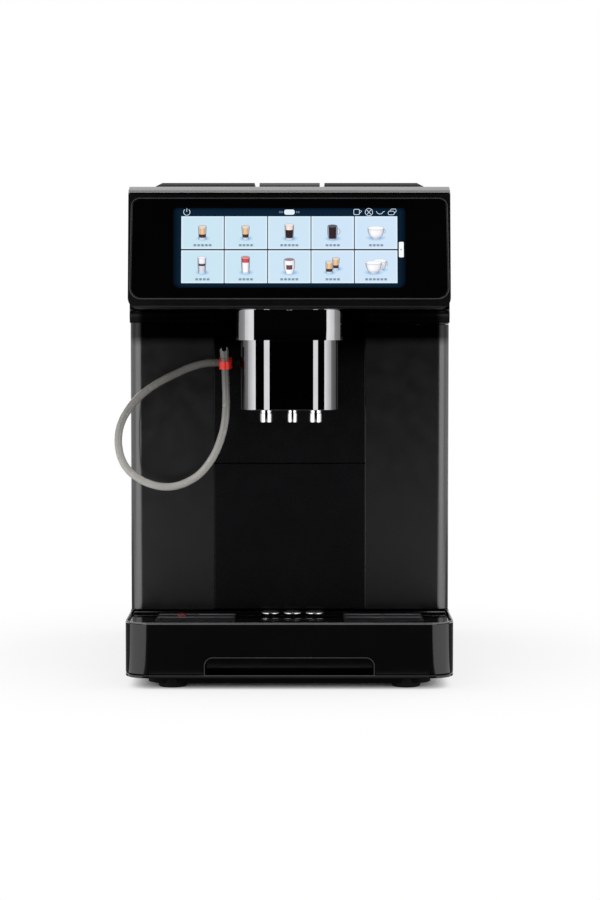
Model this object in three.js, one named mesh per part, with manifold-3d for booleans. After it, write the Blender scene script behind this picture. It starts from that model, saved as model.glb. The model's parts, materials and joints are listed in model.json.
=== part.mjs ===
// Table-top bean-to-cup coffee machine for self-service drinks.
// Millimetres, +X right, -Y front, +Z up, origin on the floor under the middle of the machine.
import * as THREE from 'three';
import { mergeVertices } from 'three/addons/utils/BufferGeometryUtils.js';
import Module from 'manifold-3d';

const wasm = await Module();
wasm.setup();

// ---------------------------------------------------------------- driving dimensions
const WIDTH = 340;
const DEPTH = 480;
const HEIGHT = 525;
const HALF_W = WIDTH / 2;
const FRONT = -DEPTH / 2;
const REAR = DEPTH / 2;
const GAP = 0.3; // running gap between pieces that touch
const SKIN = 2.5; // wall of the moulded covers

const FOOT_H = 12;
const FOOT_R = 15;
const FOOT_X = 121.5;
const FOOT_FRONT_Y = -210;
const FOOT_REAR_Y = 205;
const PAN_FLOOR = 3;
const TRAY_TOP = 68.7;
const TRAY_WALL = 3;
const COVER_TOP = 66.2;
const COVER_T = 3.5;
const BODY_FRONT = -136; // front plane of the body, behind the drip tray
const BODY_BOTTOM = 70.5;
const BASE_CORNER = 26;
const BODY_CORNER = 13;
const SEAM_X = 80.5; // vertical seams of the front panels
const SEAM_Z = 227; // seam over the grounds drawer
const DOOR_TOP = 375; // top edge of the service door
const CHEEK_SWEEP = 14; // how far the cheeks sweep forward under the head

const HEAD_W = 332;
const HEAD_FRONT = -222;
const HEAD_BOTTOM = 391;
const HEAD_TOP = 516;
const HEAD_TILT = THREE.MathUtils.degToRad(8.2);
const HEAD_WALL = 4.5;
const CROWN_DROP = 5; // the head's top slopes down to its front edge by this much
const CROWN_RUN = 20;
const GLASS_W = 324.2; // at the upper edge
const GLASS_FLARE = 0.0105; // how much wider the glass is at its lower edge
const GLASS_LOW = 11.5; // glass edges, measured up the face from the head's lower edge
const GLASS_HIGH = 115;
const GLASS_T = 2;

const SPOUT_W = 103;
const SPOUT_FRONT = -196.5;
const SPOUT_BACK = -138.6;
const SPOUT_LOW = 286; // lower face at the raised stop
const SPOUT_LENGTH = 190;
const COLLAR_W = 113;
const COLLAR_FRONT = -200;
const COLLAR_LOW = 359;
const COLLAR_CORNER = 24;
const COLLAR_SHOULDER = 9; // rounding of its upper outer corners
const SPOUT_CORNER = 20;
const NOZZLE_X = [-24.5, 3, 27.3];
const NOZZLE_Y = -178;
const NOZZLE_H = 15;

const LID_GAP = 0.4;
const LID_REAR = 10; // the lids' hinge axis
const LID_FRONT = -131;
const LID_OUTER = 143;
const LID_INNER = 37;
const CENTRE_LID = 32;
const LID_AXIS_Z = (HEAD_TOP + LID_GAP + HEIGHT) / 2;
const LID_R = (HEIGHT - HEAD_TOP - LID_GAP) / 2;

const DOOR_AXIS_X = 162;
const DOOR_AXIS_Y = 228;
const GRINDER_X = 118;
const GRINDER_Y = -60;
const BREW_Y = -20;
const TANK_HALF = 105;
const TANK_FRONT = 152;
const TANK_BACK = 228;
const TANK_LOW = 130;
const TANK_HIGH = 505;
const FAN_X = -138;
const FAN_Z = 300;

// ---------------------------------------------------------------- materials
function finish(color, roughness, metalness = 0) {
  return new THREE.MeshStandardMaterial({ color, roughness, metalness });
}

const satinBlack = finish(0x1c1c1e, 0.42);
const glossBlack = finish(0x0a0a0b, 0.12);
const darkGrey = finish(0x2c2c2f, 0.35);
const greyPlastic = finish(0x5a5c60, 0.5);
const clearSmoke = finish(0x3a3d42, 0.15);
const chrome = finish(0xd8d8da, 0.08, 1);
const darkChrome = finish(0x55565a, 0.1, 1);
const steel = finish(0x9a9a9c, 0.32, 1);
const rubber = finish(0x121212, 0.85);
const silicone = finish(0x8c8e90, 0.5);
const red = finish(0xc8261c, 0.35);
const boardGreen = finish(0x14532d, 0.55);
const screenBlue = finish(0x9cc4e8, 0.2);
const paintedSteel = finish(0x6d7074, 0.45, 0.6);

// ---------------------------------------------------------------- solids
function solidOf(geometry) {
  const plain = geometry.clone();
  plain.deleteAttribute('normal');
  plain.deleteAttribute('uv');
  const merged = mergeVertices(plain, 1e-4);
  const corners = merged.index.array;
  const kept = [];
  for (let i = 0; i < corners.length; i += 3) {
    const [a, b, c] = [corners[i], corners[i + 1], corners[i + 2]];
    if (a !== b && b !== c && c !== a) kept.push(a, b, c);
  }
  const mesh = new wasm.Mesh({
    numProp: 3,
    vertProperties: new Float32Array(merged.attributes.position.array),
    triVerts: new Uint32Array(kept),
  });
  return new wasm.Manifold(mesh);
}

function geometryOf(solid) {
  const mesh = solid.getMesh();
  const geometry = new THREE.BufferGeometry();
  geometry.setAttribute('position', new THREE.BufferAttribute(new Float32Array(mesh.vertProperties), 3));
  geometry.setIndex(new THREE.BufferAttribute(new Uint32Array(mesh.triVerts), 1));
  geometry.computeVertexNormals();
  return geometry;
}

function joined(...geometries) {
  const solids = geometries.map(solidOf);
  return geometryOf(solids.reduce((whole, next) => whole.add(next)));
}

function cutFrom(geometry, ...tools) {
  const solids = tools.map(solidOf);
  return geometryOf(solids.reduce((whole, next) => whole.subtract(next), solidOf(geometry)));
}

function shared(geometry, other) {
  return geometryOf(solidOf(geometry).intersect(solidOf(other)));
}

function mirrored(geometry) {
  const copy = geometryOf(solidOf(geometry));
  copy.scale(-1, 1, 1);
  const corners = copy.index.array;
  for (let i = 0; i < corners.length; i += 3) {
    [corners[i + 1], corners[i + 2]] = [corners[i + 2], corners[i + 1]];
  }
  return copy;
}

// ---------------------------------------------------------------- basic shapes
function block(x, y, z) {
  const box = new THREE.BoxGeometry(x[1] - x[0], y[1] - y[0], z[1] - z[0]);
  return box.translate((x[0] + x[1]) / 2, (y[0] + y[1]) / 2, (z[0] + z[1]) / 2);
}

// A rectangle with its own radius at each corner: low-left, low-right, high-right, high-left.
function cornered(u, v, radii) {
  const [lowLeft, lowRight, highRight, highLeft] = radii;
  const shape = new THREE.Shape();
  shape.moveTo(u[0] + lowLeft, v[0]);
  shape.lineTo(u[1] - lowRight, v[0]);
  if (lowRight) shape.absarc(u[1] - lowRight, v[0] + lowRight, lowRight, -Math.PI / 2, 0, false);
  shape.lineTo(u[1], v[1] - highRight);
  if (highRight) shape.absarc(u[1] - highRight, v[1] - highRight, highRight, 0, Math.PI / 2, false);
  shape.lineTo(u[0] + highLeft, v[1]);
  if (highLeft) shape.absarc(u[0] + highLeft, v[1] - highLeft, highLeft, Math.PI / 2, Math.PI, false);
  shape.lineTo(u[0], v[0] + lowLeft);
  if (lowLeft) shape.absarc(u[0] + lowLeft, v[0] + lowLeft, lowLeft, Math.PI, Math.PI * 1.5, false);
  return shape;
}

function polygon(points) {
  return new THREE.Shape(points.map(([u, v]) => new THREE.Vector2(u, v)));
}

function extruded(shape, depth) {
  return new THREE.ExtrudeGeometry(shape, { depth, bevelEnabled: false, curveSegments: 6 });
}

function alongZ(shape, z) {
  return extruded(shape, z[1] - z[0]).translate(0, 0, z[0]);
}

const AXIS_X = new THREE.Vector3(1, 0, 0);
const AXIS_Y = new THREE.Vector3(0, 1, 0);
const AXIS_Z = new THREE.Vector3(0, 0, 1);

// An outline drawn in (Y, Z), extruded along X.
function alongX(shape, x) {
  const turn = new THREE.Matrix4().makeBasis(AXIS_Y, AXIS_Z, AXIS_X);
  return extruded(shape, x[1] - x[0]).applyMatrix4(turn).translate(x[0], 0, 0);
}

// An outline drawn in (X, Z), extruded along Y.
function alongY(shape, y) {
  const turn = new THREE.Matrix4().makeBasis(AXIS_X, AXIS_Z, AXIS_Y.clone().negate());
  return extruded(shape, y[1] - y[0]).applyMatrix4(turn).translate(0, y[1], 0);
}

function turned(profile, segments = 20) {
  const points = profile.map(([r, z]) => new THREE.Vector2(r, z));
  return new THREE.LatheGeometry(points, segments).rotateX(Math.PI / 2);
}

function rod(radius, low, high, segments = 20) {
  return turned([[0, low], [radius, low], [radius, high], [0, high]], segments);
}

function rodX(radius, x, segments = 20) {
  return rod(radius, x[0], x[1], segments).rotateY(Math.PI / 2);
}

function rodY(radius, y, segments = 20) {
  return rod(radius, -y[1], -y[0], segments).rotateX(Math.PI / 2);
}

// A four-sided funnel block between a low and a high rectangle, each {x: [..], y: [..]}.
function frustum(low, high, z) {
  const ring = (r, height) => [
    [r.x[0], r.y[0], height], [r.x[1], r.y[0], height], [r.x[1], r.y[1], height], [r.x[0], r.y[1], height],
  ];
  const corners = [...ring(low, z[0]), ...ring(high, z[1])].flat();
  const faces = [0, 2, 1, 0, 3, 2, 4, 5, 6, 4, 6, 7];
  for (let i = 0; i < 4; i += 1) {
    const next = (i + 1) % 4;
    faces.push(i, next, next + 4, i, next + 4, i + 4);
  }
  const geometry = new THREE.BufferGeometry();
  geometry.setAttribute('position', new THREE.BufferAttribute(new Float32Array(corners), 3));
  geometry.setIndex(faces);
  return geometry;
}

function pipe(points, radius, steps, sides) {
  const path = new THREE.CatmullRomCurve3(points, false, 'centripetal');
  const section = new THREE.Shape();
  section.absarc(0, 0, radius, 0, Math.PI * 2, false);
  const options = { steps, curveSegments: sides / 2, bevelEnabled: false, extrudePath: path };
  return new THREE.ExtrudeGeometry(section, options);
}

const machine = new THREE.Group();

function piece(name, geometry, material, parent = machine, position = [0, 0, 0]) {
  const mesh = new THREE.Mesh(geometryOf(solidOf(geometry)), material);
  mesh.name = name;
  mesh.position.set(...position);
  parent.add(mesh);
  return mesh;
}

// ---------------------------------------------------------------- base, feet and drip tray
const PLATE_TOP = FOOT_H + PAN_FLOOR;
const BASE_TOP = BODY_BOTTOM - GAP;

function basePan() {
  const outline = cornered([-HALF_W, HALF_W], [FRONT, REAR], [BASE_CORNER, BASE_CORNER, 8, 8]);
  const plate = alongZ(outline, [FOOT_H, PLATE_TOP]);
  const wallOutline = cornered([-HALF_W, HALF_W], [BODY_FRONT, REAR], [0, 0, 8, 8]);
  const walls = alongZ(wallOutline, [FOOT_H, BASE_TOP]);
  const inside = block([-166, 166], [BODY_FRONT - 1, REAR - 4], [PLATE_TOP, BASE_TOP + 1]);
  return joined(plate, cutFrom(walls, inside));
}

function foot() {
  const top = FOOT_H - GAP;
  return turned([[0, 0], [FOOT_R - 1, 0], [FOOT_R, 1.5], [FOOT_R - 2, top], [0, top]], 20);
}

const TRAY_LOW = PLATE_TOP + GAP;
const TRAY_BACK = BODY_FRONT - 0.8;
const LEDGE_Z = COVER_TOP - COVER_T - GAP;
const RECESS_W = 176;
const RECESS_TOP = 34;
const RECESS_DEPTH = 27;
const TONGUE_TOP = 58;
const TONGUE_BACK = 60;

function dripTray() {
  const outline = cornered([-HALF_W, HALF_W], [FRONT, TRAY_BACK], [BASE_CORNER, BASE_CORNER, 0, 0]);
  const front = alongZ(outline, [TRAY_LOW, TRAY_TOP]);
  const tongue = block([-150, 150], [TRAY_BACK - 1, TONGUE_BACK], [TRAY_LOW, TONGUE_TOP]);
  const inner = BASE_CORNER - TRAY_WALL;
  const pocketX = [-HALF_W + TRAY_WALL, HALF_W - TRAY_WALL];
  const pocketY = [FRONT + TRAY_WALL, TRAY_BACK - TRAY_WALL];
  const pocket = alongZ(cornered(pocketX, pocketY, [inner, inner, 0, 0]), [LEDGE_Z, TRAY_TOP + 1]);
  const ledge = 2.5;
  const basinX = [pocketX[0] + ledge, pocketX[1] - ledge];
  const basinY = [pocketY[0] + ledge, pocketY[1] - ledge];
  const basinShape = cornered(basinX, basinY, [inner - 2, inner - 2, 0, 0]);
  const basin = alongZ(basinShape, [TRAY_LOW + TRAY_WALL, LEDGE_Z + 1]);
  const tongueInside = block([-147, 147], [TRAY_BACK + 2, TONGUE_BACK - 3], [TRAY_LOW + 3, TONGUE_TOP + 1]);
  const passage = block([-140, 140], [TRAY_BACK - 7, TRAY_BACK + 3], [TRAY_LOW + 3, 50]);
  const hollow = cutFrom(joined(front, tongue), pocket, basin, tongueInside, passage);
  const shroud = block([-RECESS_W / 2 - 3, RECESS_W / 2 + 3], [FRONT + 1, FRONT + RECESS_DEPTH + 3],
    [TRAY_LOW, RECESS_TOP + 3]);
  const recess = alongY(cornered([-RECESS_W / 2, RECESS_W / 2], [TRAY_LOW - 1, RECESS_TOP], [0, 0, 9, 9]),
    [FRONT - 1, FRONT + RECESS_DEPTH]);
  return cutFrom(joined(hollow, shroud), recess);
}

const GRILLE_X = [57, 140];
const GRILLE_Y = [-202, -147];
const DRAIN_X = [-20.5, 3, 26.5];
const DRAIN_Y = -152;
const DRAIN_R = 7;
const GROOVE = [[-24, 36], [-190, -181]]; // shallow drip groove ahead of the drain caps
const FLOAT_X = -114;
const FLOAT_Y = -163;
const FLOAT_HOLE = 7;

function grilleHole(side) {
  const x = GRILLE_X.map((value) => value * side).sort((a, b) => a - b);
  const y = [GRILLE_Y[0] - 0.4, GRILLE_Y[1] + 0.4];
  return block([x[0] - 0.4, x[1] + 0.4], y, [COVER_TOP - 5, COVER_TOP + 1]);
}

function trayCover() {
  const inner = BASE_CORNER - TRAY_WALL;
  const x = [-HALF_W + TRAY_WALL + 0.4, HALF_W - TRAY_WALL - 0.4];
  const y = [FRONT + TRAY_WALL + 0.4, TRAY_BACK - TRAY_WALL - 0.4];
  const plate = alongZ(cornered(x, y, [inner, inner, 0, 0]), [COVER_TOP - COVER_T, COVER_TOP]);
  const drains = DRAIN_X.map((at) => rod(DRAIN_R, COVER_TOP - 5, COVER_TOP + 1).translate(at, DRAIN_Y, 0));
  const groove = block(...GROOVE, [COVER_TOP - 1.2, COVER_TOP + 1]);
  return cutFrom(plate, grilleHole(1), grilleHole(-1), groove, ...drains);
}

const SLOT_COUNT = 5;
const SLOT_PITCH = 10.25;
const SLOT_W = 6;

function dripGrille() {
  const plate = block(GRILLE_X, GRILLE_Y, [COVER_TOP - 3, COVER_TOP + 0.8]);
  const middle = (GRILLE_X[0] + GRILLE_X[1]) / 2;
  const slots = [];
  for (let i = 0; i < SLOT_COUNT; i += 1) {
    const y = [GRILLE_Y[0] + 4 + i * SLOT_PITCH, GRILLE_Y[0] + 4 + i * SLOT_PITCH + SLOT_W];
    const z = [COVER_TOP - 5, COVER_TOP + 2];
    slots.push(block([GRILLE_X[0] + 4, middle - 2], y, z), block([middle + 2, GRILLE_X[1] - 4], y, z));
  }
  return cutFrom(plate, ...slots);
}

// The left grille carries an eyelet for the float's stem.
function floatGrille() {
  const pad = rod(FLOAT_HOLE + 2.5, COVER_TOP - 3, COVER_TOP + 0.8).translate(FLOAT_X, FLOAT_Y, 0);
  const hole = rod(FLOAT_HOLE, COVER_TOP - 5, COVER_TOP + 2).translate(FLOAT_X, FLOAT_Y, 0);
  return cutFrom(joined(mirrored(dripGrille()), pad), hole);
}

function drainCap() {
  const low = COVER_TOP + GAP;
  const dome = [[9.6, low], [9.3, low + 1.4], [7.6, low + 2.5], [4, low + 3.2]];
  return turned([[0, low], ...dome, [0, low + 3.4]], 20);
}

function floatStem() {
  const top = COVER_TOP + 3.6;
  return turned([[0, 30], [9, 30], [9, 42], [5.4, 44], [5.4, top - 1.6], [4, top], [0, top]], 18);
}

function buildBase() {
  piece('base_pan', basePan(), glossBlack);
  for (const [side, x] of [['left', -FOOT_X], ['right', FOOT_X]]) {
    piece(`foot_front_${side}`, foot(), rubber, machine, [x, FOOT_FRONT_Y, 0]);
    piece(`foot_rear_${side}`, foot(), rubber, machine, [x, FOOT_REAR_Y, 0]);
  }
  piece('drip_tray', dripTray(), glossBlack);
  piece('drip_tray_cover', trayCover(), satinBlack);
  piece('drip_grille_right', dripGrille(), darkChrome);
  piece('drip_grille_left', floatGrille(), darkChrome);
  ['left', 'centre', 'right'].forEach((side, i) => {
    piece(`drain_cap_${side}`, drainCap(), chrome, machine, [DRAIN_X[i], DRAIN_Y, 0]);
  });
  piece('tray_float', floatStem(), red, machine, [FLOAT_X, FLOAT_Y, 0]);
}

// ---------------------------------------------------------------- body covers
// The left half's wall in plan: front panel, rounded corner and side, drawn from the seam to the rear.
function wallBand(rear, z) {
  const shape = new THREE.Shape();
  const inner = BODY_CORNER - SKIN;
  const corner = [-HALF_W + BODY_CORNER, BODY_FRONT + BODY_CORNER];
  shape.moveTo(-SEAM_X - GAP, BODY_FRONT + SKIN);
  shape.lineTo(corner[0], BODY_FRONT + SKIN);
  shape.absarc(corner[0], corner[1], inner, Math.PI * 1.5, Math.PI, true);
  shape.lineTo(-HALF_W + SKIN, rear);
  shape.lineTo(-HALF_W, rear);
  shape.lineTo(-HALF_W, corner[1]);
  shape.absarc(corner[0], corner[1], BODY_CORNER, Math.PI, Math.PI * 1.5, false);
  shape.lineTo(-SEAM_X - GAP, BODY_FRONT);
  return alongZ(shape, z);
}

// The curved lip that carries the front panel forward to the head's underside.
function cheekLip() {
  const top = HEAD_BOTTOM - GAP;
  const profile = new THREE.Shape();
  profile.moveTo(BODY_FRONT + SKIN, top - CHEEK_SWEEP);
  profile.lineTo(BODY_FRONT, top - CHEEK_SWEEP);
  profile.absarc(BODY_FRONT - CHEEK_SWEEP, top - CHEEK_SWEEP, CHEEK_SWEEP, 0, Math.PI / 2, false);
  profile.lineTo(BODY_FRONT + SKIN, top);
  const front = BODY_FRONT - CHEEK_SWEEP - 1;
  const plan = cornered([-HALF_W, -SEAM_X - GAP], [front, BODY_FRONT + SKIN], [BODY_CORNER, 0, 0, 0]);
  return shared(alongX(profile, [-HALF_W, -SEAM_X - GAP]), alongZ(plan, [top - 40, top]));
}

function upperWall() {
  const top = HEAD_BOTTOM - GAP;
  const wall = [-HALF_W, -HALF_W + SKIN];
  const rising = block(wall, [BODY_FRONT, REAR], [top, HEAD_TOP]);
  return joined(rising, block(wall, [0, REAR], [top - 10, HEAD_TOP]));
}

function leftShell() {
  return joined(wallBand(REAR, [BODY_BOTTOM, HEAD_BOTTOM - GAP]), cheekLip(), upperWall());
}

function rightCheek() {
  const band = wallBand(REAR, [DOOR_TOP + GAP, HEAD_BOTTOM - GAP]);
  return mirrored(joined(band, cheekLip(), upperWall()));
}

const KNUCKLES = [[108, 132], [316, 340]];
const EYES = [[98, 106], [342, 350]];

function serviceDoor() {
  const band = mirrored(wallBand(DOOR_AXIS_Y + 2.5, [BODY_BOTTOM + GAP, DOOR_TOP - GAP]));
  const barrels = KNUCKLES.map((z) => rod(4, z[0], z[1]).translate(DOOR_AXIS_X, DOOR_AXIS_Y, 0));
  const webY = [DOOR_AXIS_Y - 1.8, DOOR_AXIS_Y + 1.8];
  const webs = KNUCKLES.map((z) => block([DOOR_AXIS_X, HALF_W - 1], webY, z));
  const bore = rod(2.1, 80, 370).translate(DOOR_AXIS_X, DOOR_AXIS_Y, 0);
  return cutFrom(joined(band, ...barrels, ...webs), bore);
}

const FRAME_TOP = 406.5;
const BULKHEAD_X = [82, 84];

function hingePost() {
  const post = block([140, 146], [222, 231], [BODY_BOTTOM + 1, 371]);
  const arms = EYES.map((z) => block([140, DOOR_AXIS_X], [225, 231], z));
  const eyes = EYES.map((z) => rod(4, z[0], z[1]).translate(DOOR_AXIS_X, DOOR_AXIS_Y, 0));
  const bore = rod(1.9, 80, 370).translate(DOOR_AXIS_X, DOOR_AXIS_Y, 0);
  return cutFrom(joined(post, ...arms, ...eyes), bore);
}

function tankShelf() {
  const plate = block([-110, 110], [149, 232], [113, 116]);
  const legs = [[-110, -107], [107, 110]].map((x) => block(x, [149, 232], [BODY_BOTTOM + 1, 116]));
  const drain = rod(12, 110, 120).translate(0, 190, 0);
  return cutFrom(joined(plate, ...legs), drain);
}

function innerFrame() {
  const plan = cornered([-167, 167], [BODY_FRONT + 4.5, REAR - 3.5], [14, 14, 0, 0]);
  const hingeNotch = block([148, 170], [214, REAR], [BODY_BOTTOM - 1, BODY_BOTTOM + 4]);
  const deck = cutFrom(alongZ(plan, [BODY_BOTTOM, BODY_BOTTOM + 2.5]), hingeNotch);
  const bridge = block([-160, 160], [BODY_FRONT + 5, 146], [FRAME_TOP - 2.5, FRAME_TOP]);
  const bulkhead = block(BULKHEAD_X, [BODY_FRONT + 5, 146], [BODY_BOTTOM + 1, FRAME_TOP - 1]);
  const window = block([80, 86], [-90, 100], [236, 396]);
  const wells = [-1, 1].map((side) => rod(35, 400, 410).translate(side * GRINDER_X, GRINDER_Y, 0));
  const chute = block([-30, 30], [-76, 0], [400, 410]);
  const sides = [cutFrom(bulkhead, window), mirrored(cutFrom(bulkhead, window))];
  const cage = joined(cutFrom(bridge, chute, ...wells), deck, ...sides);
  return joined(cage, tankShelf(), hingePost());
}

const INLET_X = -138;
const INLET_Z = [92.5, 166.5];

function rearPanel() {
  const wide = block([-167.2, HALF_W], [REAR - 3, REAR], [BODY_BOTTOM + GAP, DOOR_TOP - GAP]);
  const narrow = block([-167.2, 167.2], [REAR - 3, REAR], [BODY_BOTTOM + GAP, HEAD_TOP - 8 - GAP]);
  const inletZ = [INLET_Z[0] - 0.5, INLET_Z[1] + 0.5];
  const inletHole = block([INLET_X - 16, INLET_X + 16], [REAR - 5, REAR + 1], inletZ);
  const slots = [];
  for (let i = -2; i <= 2; i += 1) {
    const half = Math.abs(i) === 2 ? 14 : 20;
    const z = FAN_Z + i * 8.5;
    slots.push(block([FAN_X - half, FAN_X + half], [REAR - 5, REAR + 1], [z - 2.5, z + 2.5]));
  }
  return cutFrom(joined(wide, narrow), inletHole, ...slots);
}

const HOPPER_X = [43, 135];
const HOPPER_Y = [-123, -1];

function topCover() {
  const plate = block([-167.2, 167.2], [BODY_FRONT + 0.2, REAR], [HEAD_TOP - 8, HEAD_TOP]);
  const mouth = block([HOPPER_X[0] - 1, HOPPER_X[1] + 1], [HOPPER_Y[0] - 1, HOPPER_Y[1] + 1], [500, 520]);
  const chute = block([-25, 25], [-71, -9], [500, 520]);
  const tank = block([-TANK_HALF - 2, TANK_HALF + 2], [TANK_FRONT - 2, TANK_BACK + 2], [500, 520]);
  const shelf = block([-150, 150], [24, 144], [HEAD_TOP - 2, HEAD_TOP + 1]);
  const body = cutFrom(plate, mouth, mirrored(mouth), chute, tank, shelf);
  const ear = joined(
    block([LID_OUTER + 0.6, LID_OUTER + 4], [LID_REAR - 3, LID_REAR + 3], [HEAD_TOP - 1, LID_AXIS_Z]),
    rodX(3, [LID_OUTER + 0.6, LID_OUTER + 4]).translate(0, LID_REAR, LID_AXIS_Z),
  );
  const bore = rodX(1.7, [-160, 160]).translate(0, LID_REAR, LID_AXIS_Z);
  return cutFrom(joined(body, ear, mirrored(ear)), bore);
}

function hopperLid(x, slope) {
  const profile = new THREE.Shape();
  profile.moveTo(LID_FRONT, LID_AXIS_Z - LID_R);
  profile.lineTo(LID_REAR, LID_AXIS_Z - LID_R);
  profile.absarc(LID_REAR, LID_AXIS_Z, LID_R, -Math.PI / 2, Math.PI / 2, false);
  profile.lineTo(LID_FRONT + 3, HEIGHT);
  profile.lineTo(LID_FRONT, HEIGHT - 3);
  const plate = alongX(profile, x);
  const bore = rodX(1.9, [x[0] - 1, x[1] + 1]).translate(0, LID_REAR, LID_AXIS_Z);
  const chamfer = polygon([[x[1] - slope, HEIGHT + 0.1], [x[1] + 1, HEIGHT + 0.1], [x[1] + 1, HEIGHT - 5]]);
  const cuts = slope ? [bore, alongY(chamfer, [LID_FRONT - 1, LID_REAR + 10])] : [bore];
  return cutFrom(plate, ...cuts);
}

function drawerFront() {
  return block([-SEAM_X, SEAM_X], [BODY_FRONT, BODY_FRONT + 3.2], [BODY_BOTTOM + GAP, SEAM_Z - GAP]);
}

function groundsBin() {
  const outer = block([-74, 74], [BODY_FRONT + 3.5, 50], [BODY_BOTTOM + 4, 200]);
  const inside = block([-71.5, 71.5], [BODY_FRONT + 6, 47.5], [BODY_BOTTOM + 6.5, 201]);
  return cutFrom(outer, inside);
}

function buildBody() {
  piece('inner_frame', innerFrame(), paintedSteel);
  piece('left_side_shell', leftShell(), satinBlack);
  piece('right_cheek', rightCheek(), satinBlack);
  piece('service_door', serviceDoor(), satinBlack);
  piece('door_hinge_pin', rod(1.6, 90, 358), steel, machine, [DOOR_AXIS_X, DOOR_AXIS_Y, 0]);
  piece('rear_panel', rearPanel(), satinBlack);
  piece('top_cover', topCover(), darkGrey);
  const pin = rodX(1.4, [-LID_OUTER - 3.6, LID_OUTER + 3.6]);
  piece('lid_hinge_pin', pin, steel, machine, [0, LID_REAR, LID_AXIS_Z]);
  piece('right_hopper_lid', hopperLid([LID_INNER, LID_OUTER], 8), darkGrey);
  piece('left_hopper_lid', mirrored(hopperLid([LID_INNER, LID_OUTER], 8)), darkGrey);
  piece('centre_lid', hopperLid([-CENTRE_LID, CENTRE_LID], 0), darkGrey);
  const panelZ = [SEAM_Z + GAP, HEAD_BOTTOM - GAP];
  piece('centre_panel', block([-SEAM_X, SEAM_X], [BODY_FRONT, BODY_FRONT + SKIN], panelZ), satinBlack);
  piece('grounds_drawer_front', drawerFront(), satinBlack);
  piece('grounds_bin', groundsBin(), greyPlastic);
}

// ---------------------------------------------------------------- head and display
function headProfile(inset, rear) {
  const low = HEAD_BOTTOM + inset;
  const high = HEAD_TOP - inset;
  const slope = Math.tan(HEAD_TILT);
  const lowFront = HEAD_FRONT + inset + (inset * slope);
  const highFront = lowFront + (high - low) * slope;
  const drop = inset ? 0 : CROWN_DROP;
  const run = inset ? 7 : CROWN_RUN;
  const crownFront = highFront - drop * slope;
  const shape = new THREE.Shape();
  shape.moveTo(rear, low);
  shape.lineTo(lowFront + 6, low);
  shape.quadraticCurveTo(lowFront, low, lowFront + 5 * slope, low + 5);
  shape.lineTo(crownFront - 2 * slope, high - drop - 2);
  shape.quadraticCurveTo(crownFront, high - drop, crownFront + 2, high - drop + 2 * (drop / run));
  shape.lineTo(crownFront + run, high);
  shape.lineTo(rear, high);
  return shape;
}

const GLASS_CORNERS = [11, 11, 8, 8];
const faceMatrix = new THREE.Matrix4().makeRotationX(-HEAD_TILT);
faceMatrix.setPosition(0, HEAD_FRONT, HEAD_BOTTOM);

// Widens an outline drawn up the face, more the lower it lies.
function flared(geometry) {
  const place = geometry.attributes.position;
  for (let i = 0; i < place.count; i += 1) {
    const below = (GLASS_HIGH - place.getZ(i)) / (GLASS_HIGH - GLASS_LOW);
    place.setX(i, place.getX(i) * (1 + GLASS_FLARE * below));
  }
  return geometry;
}

function headShell() {
  const rear = BODY_FRONT - GAP;
  const outerX = [-HEAD_W / 2, HEAD_W / 2];
  const outerFront = alongY(cornered(outerX, [HEAD_BOTTOM, HEAD_TOP], [12, 12, 4, 4]), [FRONT, rear]);
  const outer = shared(alongX(headProfile(0, rear), outerX), outerFront);
  const innerX = [-HEAD_W / 2 + SKIN, HEAD_W / 2 - SKIN];
  const innerZ = [HEAD_BOTTOM + SKIN, HEAD_TOP - SKIN];
  const innerFront = alongY(cornered(innerX, innerZ, [9, 9, 2, 2]), [FRONT, rear + 1]);
  const inner = shared(alongX(headProfile(HEAD_WALL, rear + 1), innerX), innerFront);
  const glassX = [-GLASS_W / 2 - GAP, GLASS_W / 2 + GAP];
  const glassZ = [GLASS_LOW - GAP, GLASS_HIGH + GAP];
  const recess = flared(alongY(cornered(glassX, glassZ, GLASS_CORNERS), [-4, GLASS_T + GAP]));
  const window = block([-150, 150], [-4, 12], [GLASS_LOW + 5, GLASS_HIGH - 6]);
  const spoutHole = block([-54, 54], [COLLAR_FRONT + 2, rear + 1], [HEAD_BOTTOM - 5, HEAD_BOTTOM + 8]);
  return cutFrom(outer, inner, recess.applyMatrix4(faceMatrix), window.applyMatrix4(faceMatrix), spoutHole);
}

function buildHead() {
  piece('head_shell', headShell(), satinBlack);
  const face = new THREE.Group();
  face.position.set(0, HEAD_FRONT, HEAD_BOTTOM);
  face.rotation.x = -HEAD_TILT;
  machine.add(face);
  const glassShape = cornered([-GLASS_W / 2, GLASS_W / 2], [GLASS_LOW, GLASS_HIGH], GLASS_CORNERS);
  piece('display_glass', flared(alongY(glassShape, [0, GLASS_T])), glossBlack, face);
  const panelZ = [GLASS_LOW + 7, GLASS_HIGH - 8];
  piece('display_panel', block([-126, 126], [GLASS_T + GAP, GLASS_T + 7], panelZ), screenBlue, face);
  const lens = turned([[0, -1.5], [2.4, -1.5], [3, -GAP], [0, -GAP]], 16);
  piece('cup_light', lens, clearSmoke, machine, [0, HEAD_FRONT + 12, HEAD_BOTTOM]);
}

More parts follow.
